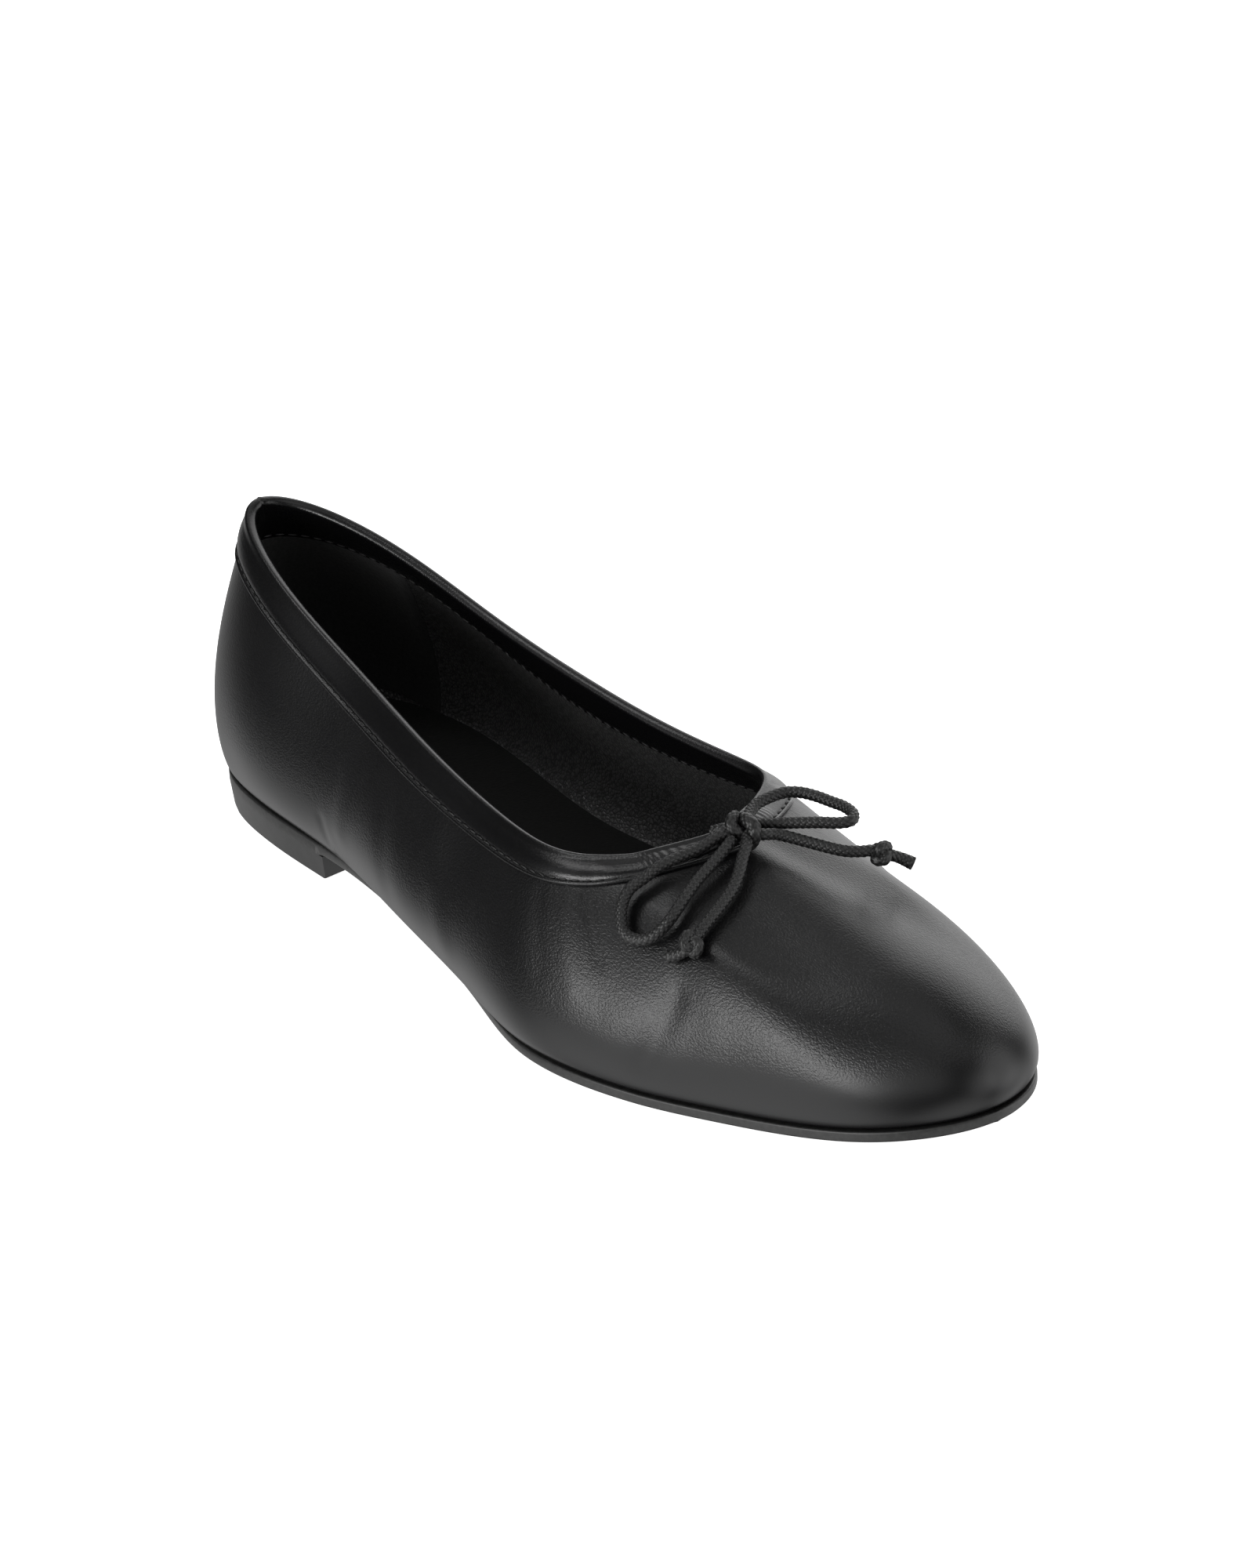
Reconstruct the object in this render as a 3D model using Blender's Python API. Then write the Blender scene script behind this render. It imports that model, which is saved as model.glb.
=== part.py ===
"""Ballet flat for the right foot, built as a shoemaker would: a leather upper lasted over a thin outsole,
a low heel, a bound topline, an insole, and the drawcord's bow at the throat.

+X runs from the heel to the toe, +Y to the wearer's left (this shoe's inner side) and +Z up.
The floor is z = 0, where the heel and the ball of the sole rest. The origin is the middle of the
heel's face on the floor. Lengths are metres.
"""

import bmesh
import bpy
import numpy as np
from mathutils import Vector

# The last: overall length, widths at the heel and the ball, heights of the topline above the floor
LENGTH = 0.252
HEEL_WIDTH = 0.054
BALL_WIDTH = 0.082
BACK_HEIGHT = 0.067
INSTEP_HEIGHT = 0.045
SWELL = 0.006  # how far the heel's back stands out past the line where it meets the sole
TOE_BOX = 0.029  # reach of the toe's rounded wall, measured in from the footprint

# The bottom
HEEL_HEIGHT = 0.0058
HEEL_TAPER = 0.0004
HEEL_LENGTH = 0.0545
TOE_SPRING = 0.009
OUTSOLE = 0.0025  # thickness of the outsole
LIP = 0.001  # outsole's edge beyond the upper at the toe
INSOLE = 0.0016

# The upper
WALL = 0.0016  # leather and lining together
COLLAR_WALL = 0.0011  # the wall skived thin inside the binding
FEATHER = 0.0014  # radius where the upper turns under
MARGIN = 0.0085  # lasting margin that lies on the outsole
BINDING = 0.0008  # one leaf of the folded binding
BINDING_DEPTH = 0.0092

CORD = 0.0025  # diameter of the drawcord

GAP = 0.0003  # clearance between neighbouring pieces
INSOLE_PLAY = 0.0005  # clearance round the insole

# How finely the forms are cut: sections along each side, and rows up the wall as shares of its length
HALF_RING = 48
WALL_SHARES = (0, 0.05, 0.12, 0.21, 0.32, 0.44, 0.57, 0.71, 0.85, 1)
LINING_SHARES = (0.05, 0.13, 0.26, 0.42, 0.6, 0.8, 1)
FINE_ROWS = 90
ACROSS = 4
CORD_STEP = 2  # distance between a strand's points, in CORDs


def columns(names, *rows):
    """A table as one array for each named column."""
    return {name: np.array([row[i] for row in rows], float) for i, name in enumerate(names)}


# The footprint, heel to toe. along: share of LENGTH. ball: 0 where a width is a share of HEEL_WIDTH,
# 1 where it is a share of BALL_WIDTH. outer, inner: half widths. lip: the outsole's edge, in LIPs.
FOOT = columns(
    ("along", "ball", "outer", "inner", "lip"),
    (0.016, 0.0, 0.000, 0.000, 0.0),
    (0.035, 0.0, 0.315, 0.300, 0.0),
    (0.120, 0.0, 0.480, 0.485, 0.0),
    (0.250, 0.0, 0.535, 0.465, -0.8),
    (0.380, 0.5, 0.505, 0.325, -3.0),
    (0.500, 1.0, 0.480, 0.340, -1.8),
    (0.600, 1.0, 0.535, 0.400, -0.2),
    (0.700, 1.0, 0.500, 0.450, 0.0),
    (0.800, 1.0, 0.400, 0.405, 0.0),
    (0.890, 1.0, 0.310, 0.350, 0.0),
    (0.955, 1.0, 0.205, 0.265, 0.1),
    (1.000, 1.0, 0.000, 0.000, 0.3),
)
# The topline over the same sections. along: share of LENGTH. outer, inner: half widths, as above.
# back, instep: its height as shares of BACK_HEIGHT and INSTEP_HEIGHT. band: depth in BINDING_DEPTHs.
TOPLINE = columns(
    ("along", "outer", "inner", "back", "instep", "band"),
    (0.020, 0.000, 0.000, 1.00, 0.000, 1.00),
    (0.040, 0.120, 0.145, 0.93, 0.060, 1.00),
    (0.120, 0.245, 0.280, 0.75, 0.215, 1.00),
    (0.250, 0.320, 0.360, 0.45, 0.465, 1.00),
    (0.375, 0.330, 0.315, 0.20, 0.720, 0.97),
    (0.482, 0.315, 0.290, 0.05, 0.870, 0.92),
    (0.563, 0.335, 0.310, 0.00, 0.930, 0.88),
    (0.608, 0.295, 0.280, 0.00, 0.935, 0.86),
    (0.636, 0.230, 0.170, 0.00, 0.953, 0.85),
    (0.646, 0.185, 0.115, 0.00, 0.967, 0.85),
    (0.657, 0.105, 0.048, 0.00, 0.978, 0.85),
    (0.669, 0.000, 0.000, 0.00, 1.000, 0.85),
)
# The shape of the wall between them. box: 0 for a plain side wall, 1 for the toe's rounded box.
# shoulder: how much of the height the rounded wall takes. outer, inner: the sides' swell, in SWELLs.
WALLS = columns(
    ("box", "shoulder", "outer", "inner"),
    (0.00, 1.00, 1.00, 1.00),
    (0.00, 1.00, 0.50, 0.90),
    (0.00, 1.00, 0.50, 0.83),
    (0.00, 1.00, 0.38, 0.91),
    (0.00, 1.00, 0.48, 0.98),
    (0.05, 1.00, 0.42, 0.90),
    (0.20, 0.90, 0.35, 0.82),
    (0.65, 0.68, 0.27, 0.75),
    (0.90, 0.60, 0.20, 0.67),
    (1.00, 0.53, 0.17, 0.50),
    (1.00, 0.46, 0.15, 0.30),
    (1.00, 0.49, 0.20, 0.20),
)
# The drawcord's bow, each strand from the knot outwards. turn: share of the way from the toe's middle
# round to the heel's, outer side negative. down: from the topline down the skin, in CORDs.
# over: height of the strand's middle over the skin, in CORDs. thick: width of a knot, in CORDs.
STRAND = ("turn", "down", "over")
KNOT = ("turn", "down", "over", "thick")
BOW_KNOT = columns(
    KNOT,
    (-0.027, 2.85, 1.60, 1.30),
    (-0.024, 2.85, 1.62, 1.80),
    (-0.012, 2.85, 1.65, 2.05),
    (0.000, 2.85, 1.65, 2.15),
    (0.012, 2.85, 1.65, 2.05),
    (0.024, 2.85, 1.62, 1.80),
    (0.028, 2.85, 1.60, 1.30),
)
OUTER_LOOP = columns(
    STRAND,
    (-0.038, 2.25, 1.55),
    (-0.080, 2.75, 1.40),
    (-0.126, 3.05, 1.35),
    (-0.174, 3.35, 1.30),
    (-0.222, 3.90, 1.20),
    (-0.257, 4.70, 1.20),
    (-0.272, 5.70, 1.20),
    (-0.278, 7.00, 1.15),
    (-0.278, 8.10, 1.10),
    (-0.269, 8.95, 1.10),
    (-0.253, 9.45, 1.10),
    (-0.233, 9.35, 1.10),
    (-0.207, 8.80, 1.15),
    (-0.168, 7.65, 1.20),
    (-0.121, 6.15, 1.30),
    (-0.080, 4.90, 1.45),
    (-0.048, 3.90, 1.55),
)
OUTER_TAIL = columns(
    STRAND,
    (-0.014, 4.35, 1.60),
    (-0.034, 5.40, 1.50),
    (-0.058, 6.80, 1.30),
    (-0.085, 8.20, 1.10),
    (-0.121, 9.60, 1.00),
    (-0.160, 10.80, 0.95),
    (-0.176, 11.30, 0.95),
)
OUTER_STOPPER = columns(
    KNOT,
    (-0.185, 11.65, 1.10, 1.30),
    (-0.188, 11.80, 1.15, 1.80),
    (-0.195, 12.05, 1.25, 2.10),
    (-0.202, 12.10, 1.20, 1.85),
    (-0.206, 12.05, 1.05, 1.10),
    (-0.220, 11.85, 0.90, 1.00),
    (-0.232, 11.60, 0.85, 1.05),
)
INNER_LOOP = columns(
    STRAND,
    (0.042, 1.75, 1.60),
    (0.104, 1.65, 1.95),
    (0.147, 2.25, 2.35),
    (0.180, 3.10, 2.80),
    (0.190, 4.25, 3.20),
    (0.184, 5.60, 3.55),
    (0.173, 7.20, 3.90),
    (0.162, 8.60, 4.20),
    (0.147, 9.75, 4.35),
    (0.127, 10.20, 4.30),
    (0.112, 9.50, 4.00),
    (0.098, 8.10, 3.60),
    (0.084, 6.60, 3.10),
    (0.069, 5.10, 2.55),
    (0.056, 4.00, 2.10),
    (0.046, 3.15, 1.80),
)
INNER_TAIL = columns(
    STRAND,
    (0.022, 4.30, 1.75),
    (0.044, 5.00, 1.80),
    (0.061, 6.40, 1.90),
    (0.073, 8.20, 2.10),
    (0.081, 9.80, 2.30),
    (0.090, 11.10, 2.50),
    (0.105, 12.20, 2.70),
    (0.115, 12.75, 2.80),
)
INNER_STOPPER = columns(
    KNOT,
    (0.120, 13.15, 2.80, 1.30),
    (0.122, 13.30, 2.80, 1.80),
    (0.126, 13.60, 2.80, 2.15),
    (0.130, 13.90, 2.75, 1.90),
    (0.136, 14.20, 2.70, 1.10),
    (0.146, 14.95, 2.50, 1.00),
    (0.150, 15.90, 2.40, 1.05),
)

TIP_ASIDE = 0.009  # the toe's tip lies this share of BALL_WIDTH to the inner side
THROAT_ASIDE = -0.018
SWELL_HEIGHT = 0.37  # share of the wall's height where it swells most

# The outsole's bottom: shares of LENGTH where the heel's seat, the flat tread and the toe spring begin
SEAT_END = 0.250
TREAD_START = 0.600
TREAD_END = 0.720
SPRING_CURVE = 1.8


def sole_bottom(x):
    """Height of the outsole's underside: level on the heel, an arch, flat at the ball, toe spring."""
    share = x / LENGTH
    arch = np.clip((TREAD_START - share) / (TREAD_START - SEAT_END), 0, 1)
    spring = np.clip((share - TREAD_END) / (1 - TREAD_END), 0, None)
    return (HEEL_HEIGHT + GAP) * arch**2 * (3 - 2 * arch) + TOE_SPRING * spring**SPRING_CURVE


def on_sole(plan, height):
    """Points at this height over the outsole's top face."""
    z = sole_bottom(plan[..., 0]) + OUTSOLE + height
    return np.concatenate([plan, np.broadcast_to(z, plan.shape[:-1])[..., None]], axis=-1)


class Ring:
    """Smooth closed curves through a table's rows: up the outer side to the toe, back down the inner side."""

    def __init__(self, plan):
        rows = len(plan) // 2
        steps = np.linalg.norm(np.roll(plan, -1, axis=0) - plan, axis=1)
        self.spans = steps
        self.knots = np.concatenate([[0], np.cumsum(steps)])
        outer = self.knots[: rows + 1]
        inner = self.knots[-1] - self.knots[rows:][::-1]
        place = np.arange(rows + 1)
        mean = (outer + inner) / 2
        at = np.interp(np.linspace(0, mean[-1], HALF_RING + 1), mean, place)
        self.at = np.concatenate(
            [np.interp(at, place, outer), self.knots[-1] - np.interp(at[1:-1], place, inner)[::-1]]
        )

    def curve(self, values, shift=0.0):
        """A periodic cubic spline through the values, read at each section."""
        n = len(values)
        flat = np.asarray(values, float).reshape(n, -1)
        h = self.spans
        slope = (np.roll(flat, -1, axis=0) - flat) / h[:, None]
        matrix = np.zeros((n, n))
        for i in range(n):
            matrix[i, i - 1] += h[i - 1]
            matrix[i, i] += 2 * (h[i - 1] + h[i])
            matrix[i, (i + 1) % n] += h[i]
        bend = np.linalg.solve(matrix, 6 * (slope - np.roll(slope, 1, axis=0)))
        at = (self.at + shift) % self.knots[-1]
        i = np.clip(np.searchsorted(self.knots, at, side="right") - 1, 0, n - 1)
        after = (i + 1) % n
        u = (at - self.knots[i])[:, None]
        v = h[i][:, None] - u
        span = h[i][:, None]
        found = (
            (bend[i] * v**3 + bend[after] * u**3) / (6 * span)
            + (flat[i] / span - bend[i] * span / 6) * v
            + (flat[after] / span - bend[after] * span / 6) * u
        )
        return found.reshape((len(at),) + np.shape(values)[1:])


def round_the_shoe(outer, inner):
    """One column's values for the outer side, heel to toe, then for the inner side, toe to heel."""
    return np.concatenate([outer, inner[1:-1][::-1]])


def plan_of(along, outer, inner, aside):
    """Points of a closed outline in plan, metres, from a table's shares."""
    width = HEEL_WIDTH + (BALL_WIDTH - HEEL_WIDTH) * FOOT["ball"]
    y_outer = -outer * width
    y_inner = inner * width
    y_outer[-1] = aside * BALL_WIDTH
    x = round_the_shoe(along, along) * LENGTH
    return np.stack([x, round_the_shoe(y_outer, y_inner)], axis=1)


FOOT_PLAN = plan_of(FOOT["along"], FOOT["outer"], FOOT["inner"], TIP_ASIDE)
TOP_PLAN = plan_of(TOPLINE["along"], TOPLINE["outer"], TOPLINE["inner"], THROAT_ASIDE)
RING = Ring(FOOT_PLAN)
FEATHER_LINE = RING.curve(FOOT_PLAN)


def outward_normals():
    """Unit normals of the footprint in plan, pointing out of the shoe."""
    step = LENGTH / 500
    along = RING.curve(FOOT_PLAN, step) - RING.curve(FOOT_PLAN, -step)
    normals = np.stack([along[:, 1], -along[:, 0]], axis=1)
    return normals / np.linalg.norm(normals, axis=1)[:, None]


OUTWARD = outward_normals()


def last_surface():
    """The upper's outer skin in fine rows from the feather line to the topline, and its unit normals."""
    height = TOPLINE["back"] * BACK_HEIGHT + TOPLINE["instep"] * INSTEP_HEIGHT
    top = RING.curve(TOP_PLAN)
    top_z = RING.curve(round_the_shoe(height, height))
    box = RING.curve(round_the_shoe(WALLS["box"], WALLS["box"]))[:, None]
    shoulder = RING.curve(round_the_shoe(WALLS["shoulder"], WALLS["shoulder"]))[:, None]
    swell = RING.curve(round_the_shoe(WALLS["outer"], WALLS["inner"]))[:, None] * SWELL
    foot = on_sole(FEATHER_LINE, FEATHER)
    reach = np.linalg.norm(top - FEATHER_LINE, axis=1)[:, None]
    inward = np.linspace(0, 1, FINE_ROWS)[None, :] ** 2.2
    rounded = (1 - box) * reach + box * np.minimum(TOE_BOX, reach)
    rise = np.clip(inward * reach / rounded, 0, 1)
    rise = np.sqrt(1 - (1 - rise) ** (1 + box))
    share = shoulder * rise + (1 - shoulder) * inward
    bow = np.sin(np.pi * share ** (np.log(0.5) / np.log(SWELL_HEIGHT)))
    plan = (
        FEATHER_LINE[:, None]
        + (top - FEATHER_LINE)[:, None] * inward[..., None]
        + OUTWARD[:, None] * (swell * bow)[..., None]
    )
    z = foot[:, 2:] + (top_z[:, None] - foot[:, 2:]) * share
    skin = np.concatenate([plan, z[..., None]], axis=2)
    along = np.roll(skin, -1, axis=0) - np.roll(skin, 1, axis=0)
    up = np.gradient(skin, axis=1)
    normals = np.cross(along, up)
    return skin, normals / np.linalg.norm(normals, axis=2)[..., None]


SKIN, SKIN_NORMALS = last_surface()
WALL_STEPS = np.linalg.norm(np.diff(SKIN, axis=1), axis=2)
WALL_WALK = np.concatenate([np.zeros((len(SKIN), 1)), np.cumsum(WALL_STEPS, axis=1)], axis=1)
WALL_LENGTH = WALL_WALK[:, -1]
BAND = RING.curve(round_the_shoe(TOPLINE["band"], TOPLINE["band"])) * BINDING_DEPTH


def skin_row(distance, offset=0.0):
    """Points of the skin at a distance up the wall in each section, moved out by the offset."""
    row = np.empty((len(SKIN), 3))
    for i, (skin, normal, walk) in enumerate(zip(SKIN, SKIN_NORMALS, WALL_WALK)):
        point = np.array([np.interp(distance[i], walk, skin[:, axis]) for axis in range(3)])
        out = np.array([np.interp(distance[i], walk, normal[:, axis]) for axis in range(3)])
        row[i] = point + out / np.linalg.norm(out) * offset
    return row


PLAIN_WALL = WALL_LENGTH - BAND - GAP


def lining_rows():
    """The wall's inner face, from the lasting margin up to the binding."""
    rows = [on_sole(FEATHER_LINE - OUTWARD * WALL, GAP + WALL)]
    return rows + [skin_row(PLAIN_WALL * share, -WALL) for share in LINING_SHARES]


def inside_outline(height):
    """The inner face's outline in plan at a height over the outsole, for what fits inside it."""
    lining = np.stack(lining_rows(), axis=1)
    plan = np.empty_like(FEATHER_LINE)
    for i, wall in enumerate(lining):
        over = wall[:, 2] - sole_bottom(wall[:, 0]) - OUTSOLE
        plan[i] = [np.interp(height, over, wall[:, axis]) for axis in range(2)]
    return plan


def over_skin(turn, down, over):
    """A point over the upper's skin, from a row of the bow's tables."""
    at = HALF_RING * (1 + turn)
    first = int(np.floor(at))
    point = np.zeros(3)
    out = np.zeros(3)
    for i, part in ((first, first + 1 - at), ((first + 1) % len(SKIN), at - first)):
        up = WALL_LENGTH[i] - down * CORD
        for axis in range(3):
            point[axis] += part * np.interp(up, WALL_WALK[i], SKIN[i, :, axis])
            out[axis] += part * np.interp(up, WALL_WALK[i], SKIN_NORMALS[i, :, axis])
    return point + out / np.linalg.norm(out) * over * CORD


def route(table):
    """The table's rows as points."""
    return np.array([over_skin(*row) for row in zip(table["turn"], table["down"], table["over"])])


def smooth_route(points):
    """Points at even steps along a smooth curve through a strand's own points."""
    ends = np.vstack([2 * points[0] - points[1], points, 2 * points[-1] - points[-2]])
    fine = []
    for before, start, end, after in zip(ends, ends[1:], ends[2:], ends[3:]):
        for u in np.linspace(0, 1, 20, endpoint=False):
            lean = (end - before) * u + (2 * before - 5 * start + 4 * end - after) * u**2
            fine.append(start + (lean + (3 * start - before - 3 * end + after) * u**3) / 2)
    fine = np.array(fine + [points[-1]])
    walk = np.concatenate([[0], np.cumsum(np.linalg.norm(np.diff(fine, axis=0), axis=1))])
    count = max(2, round(walk[-1] / (CORD_STEP * CORD))) + 1
    at = np.linspace(0, walk[-1], count)
    return np.stack([np.interp(at, walk, fine[:, axis]) for axis in range(3)], axis=1)


def leather(name, hex_colour, roughness, coat=0.0):
    """A dyed leather or cord as one Principled material."""
    material = bpy.data.materials.new(name)
    material.use_nodes = True
    shader = material.node_tree.nodes["Principled BSDF"]
    srgb = [int(hex_colour[i : i + 2], 16) / 255 for i in (0, 2, 4)]
    linear = [c / 12.92 if c <= 0.04045 else ((c + 0.055) / 1.055) ** 2.4 for c in srgb]
    shader.inputs["Base Color"].default_value = (*linear, 1)
    shader.inputs["Roughness"].default_value = roughness
    shader.inputs["Metallic"].default_value = 0.0
    shader.inputs["Coat Weight"].default_value = coat
    material.diffuse_color = (*linear, 1)
    return material


def clear_scene():
    for thing in list(bpy.data.objects):
        bpy.data.objects.remove(thing, do_unlink=True)


def place(name, data, material):
    """Links an object under the shoe's empty, which puts the origin at the middle of the heel's face."""
    thing = bpy.data.objects.new(name, data)
    thing.data.materials.append(material)
    thing.parent = SHOE
    bpy.context.scene.collection.objects.link(thing)
    return thing


def finish_mesh(name, bm, material, sharp_over=np.radians(50)):
    """Turns the faces out, shades the mesh smooth up to its sharp edges and places it."""
    bmesh.ops.recalc_face_normals(bm, faces=bm.faces)
    mesh = bpy.data.meshes.new(name)
    bm.to_mesh(mesh)
    bm.free()
    mesh.shade_smooth()
    mesh.set_sharp_from_angle(angle=sharp_over)
    return place(name, mesh, material)


def add_loops(bm, sections):
    """Vertices of a grid, [section][point]."""
    return [[bm.verts.new(Vector(point)) for point in section] for section in sections]


def tube_of_sections(name, sections, material):
    """A closed body swept round the shoe: closed sections, the last joined to the first."""
    bm = bmesh.new()
    grid = add_loops(bm, sections)
    for i, section in enumerate(grid):
        following = grid[(i + 1) % len(grid)]
        for j in range(len(section)):
            k = (j + 1) % len(section)
            bm.faces.new((section[j], following[j], following[k], section[k]))
    return finish_mesh(name, bm, material)


def fill_across(bm, loop, height):
    """Closes an outline with strips that run from its outer side to its inner side, at height(x)."""
    half = len(loop) // 2
    rows = [[loop[0]] * (ACROSS + 1)]
    for i in range(1, half):
        start = loop[i]
        end = loop[-i]
        row = [start]
        for j in range(1, ACROSS):
            point = start.co.lerp(end.co, j / ACROSS)
            row.append(bm.verts.new((point.x, point.y, height(point.x))))
        rows.append(row + [end])
    rows.append([loop[half]] * (ACROSS + 1))
    for row, following in zip(rows, rows[1:]):
        for j in range(ACROSS):
            corners = (row[j], row[j + 1], following[j + 1], following[j])
            bm.faces.new(list(dict.fromkeys(corners)))


def stacked_plate(name, loops, top_height, bottom_height, material):
    """A closed plate from outlines stacked from top to bottom, its two faces filled across."""
    bm = bmesh.new()
    grid = add_loops(bm, loops)
    for upper_loop, lower_loop in zip(grid, grid[1:]):
        for i in range(len(upper_loop)):
            j = (i + 1) % len(upper_loop)
            bm.faces.new((upper_loop[i], upper_loop[j], lower_loop[j], lower_loop[i]))
    fill_across(bm, grid[0], top_height)
    fill_across(bm, grid[-1], bottom_height)
    return finish_mesh(name, bm, material)


def sole_edge():
    """The outsole's outline in plan."""
    lip = RING.curve(round_the_shoe(FOOT["lip"], FOOT["lip"])) * LIP
    return FEATHER_LINE + OUTWARD * lip[:, None]


def make_outsole(material):
    edge = sole_edge()
    loops = [on_sole(edge, 0), on_sole(edge, -OUTSOLE)]
    return stacked_plate(
        "outsole", loops, lambda x: sole_bottom(x) + OUTSOLE, lambda x: float(sole_bottom(x)), material
    )


def make_heel(material):
    """The heel under the seat: the outsole's outline back of a straight breast, slightly tapered."""
    edge = sole_edge()
    breast = FOOT["along"][0] * LENGTH + HEEL_LENGTH
    half = HALF_RING
    sides = []
    for side in (edge[: half + 1], np.roll(edge, -half, axis=0)[: half + 1][::-1]):
        kept = side[side[:, 0] < breast - GAP]
        kept = kept if kept[0, 0] < kept[-1, 0] else kept[::-1]
        corner_y = np.interp(breast, side[:, 0], side[:, 1])
        sides.append(np.vstack([kept, [breast, corner_y]]))
    outline = np.vstack([sides[0][::-1], sides[1][1:]])
    middle = np.array([breast, 0.0])
    lean = outline - middle
    taper = 1 - HEEL_TAPER / (HEEL_WIDTH / 2)
    foot = middle + lean * taper
    bm = bmesh.new()
    top = [bm.verts.new((x, y, HEEL_HEIGHT)) for x, y in outline]
    bottom = [bm.verts.new((x, y, 0)) for x, y in foot]
    for i in range(len(top)):
        j = (i + 1) % len(top)
        bm.faces.new((top[i], top[j], bottom[j], bottom[i]))
    bm.faces.new(top)
    bm.faces.new(bottom[::-1])
    return finish_mesh("heel", bm, material)


def make_upper(material):
    """The hollow upper: a wall from the topline down, turned under on to the outsole as a margin."""
    quarter = 1 - np.sqrt(0.5)
    half_band = WALL_LENGTH - BAND / 2
    edge = WALL_LENGTH - BINDING - GAP
    margin_end = FEATHER_LINE - OUTWARD * (FEATHER + MARGIN)
    rows = [
        on_sole(margin_end, GAP),
        on_sole(FEATHER_LINE - OUTWARD * FEATHER, GAP),
        on_sole(FEATHER_LINE - OUTWARD * FEATHER * quarter, GAP + FEATHER * quarter),
    ]
    rows += [skin_row(PLAIN_WALL * share) for share in WALL_SHARES]
    rows += [skin_row(half_band), skin_row(edge), skin_row(edge, -COLLAR_WALL)]
    rows += [skin_row(half_band, -(COLLAR_WALL + WALL) / 2)]
    rows += lining_rows()[::-1]
    rows += [on_sole(margin_end, GAP + WALL)]
    return tube_of_sections("upper", np.stack(rows, axis=1), material)


def make_binding(material):
    """The strip folded over the topline: an outer and an inner leaf, joined over the edge."""
    low = WALL_LENGTH - BAND
    middle = WALL_LENGTH - BAND / 2
    fold = WALL_LENGTH - BINDING
    half_skive = (WALL - COLLAR_WALL) / 2
    lining_side = -COLLAR_WALL - GAP
    rows = [
        skin_row(low, GAP + BINDING),
        skin_row(middle, GAP + BINDING),
        skin_row(fold, GAP + BINDING * 0.75),
        skin_row(WALL_LENGTH, -COLLAR_WALL / 2),
        skin_row(fold, lining_side - BINDING * 0.75),
        skin_row(middle, lining_side - half_skive - BINDING),
        skin_row(low, lining_side - 2 * half_skive - BINDING),
        skin_row(low, lining_side - 2 * half_skive),
        skin_row(middle, lining_side - half_skive),
        skin_row(fold, lining_side),
        skin_row(fold, GAP),
        skin_row(middle, GAP),
        skin_row(low, GAP),
    ]
    return tube_of_sections("topline_binding", np.stack(rows, axis=1), material)


def make_insole(material):
    """The insole: a plate inside the wall, with its filler down between the lasting margins."""
    base = GAP + WALL + GAP
    top = on_sole(inside_outline(base + INSOLE) - OUTWARD * INSOLE_PLAY, base + INSOLE)
    bottom = on_sole(inside_outline(base) - OUTWARD * INSOLE_PLAY, base)
    filler = FEATHER_LINE - OUTWARD * (FEATHER + MARGIN + GAP)
    loops = [top, bottom, on_sole(filler, base), on_sole(filler, GAP)]
    face = OUTSOLE + base + INSOLE
    return stacked_plate(
        "insole", loops, lambda x: sole_bottom(x) + face, lambda x: sole_bottom(x) + OUTSOLE + GAP, material
    )


def make_cord(name, points, material, thick=None, sides=2):
    """A round cord, or a knot where its thickness varies along it, with closed ends."""
    curve = bpy.data.curves.new(name, "CURVE")
    curve.dimensions = "3D"
    spline = curve.splines.new("POLY")
    spline.points.add(len(points) - 1)
    for i, (x, y, z) in enumerate(points):
        spline.points[i].co = (x, y, z, 1)
        spline.points[i].radius = 1 if thick is None else thick[i]
    curve.bevel_depth = CORD / 2
    curve.bevel_resolution = sides
    curve.use_fill_caps = True
    return place(name, curve, material)


clear_scene()
SHOE = bpy.data.objects.new("shoe", None)
SHOE.location = (-(FOOT["along"][0] * LENGTH + HEEL_LENGTH / 2), 0, 0)
bpy.context.scene.collection.objects.link(SHOE)

nappa = leather("black_nappa", "1A1A1B", 0.38, 0.3)
binding_nappa = leather("binding_nappa", "1C1C1D", 0.36, 0.3)
lining = leather("insole_leather", "121212", 0.7)
sole_leather = leather("sole_leather", "2A2928", 0.6)
heel_rubber = leather("heel_rubber", "2B2B2B", 0.55)
cord = leather("waxed_cord", "1B1B1B", 0.5)

make_outsole(sole_leather)
make_heel(heel_rubber)
make_upper(nappa)
make_binding(binding_nappa)
make_insole(lining)
make_cord("bow_knot", route(BOW_KNOT), cord, BOW_KNOT["thick"], 4)
make_cord("bow_loop_outer", smooth_route(route(OUTER_LOOP)), cord)
make_cord("bow_loop_inner", smooth_route(route(INNER_LOOP)), cord)
make_cord("bow_tail_outer", smooth_route(route(OUTER_TAIL)), cord)
make_cord("bow_tail_inner", smooth_route(route(INNER_TAIL)), cord)
make_cord("end_knot_outer", route(OUTER_STOPPER), cord, OUTER_STOPPER["thick"], 4)
make_cord("end_knot_inner", route(INNER_STOPPER), cord, INNER_STOPPER["thick"], 4)
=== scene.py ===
"""Looks of the ballet flat: black nappa on a thin leather sole, a bound topline and a cord bow.

Every length is in metres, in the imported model's frame: +X to the toe, +Y to the inner side, +Z up,
the floor at z = 0. The script follows the shoe as it is put together, from the sole to the bow.
"""

import math

import bmesh
import bpy
import numpy as np
from mathutils import Matrix, Vector


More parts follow.
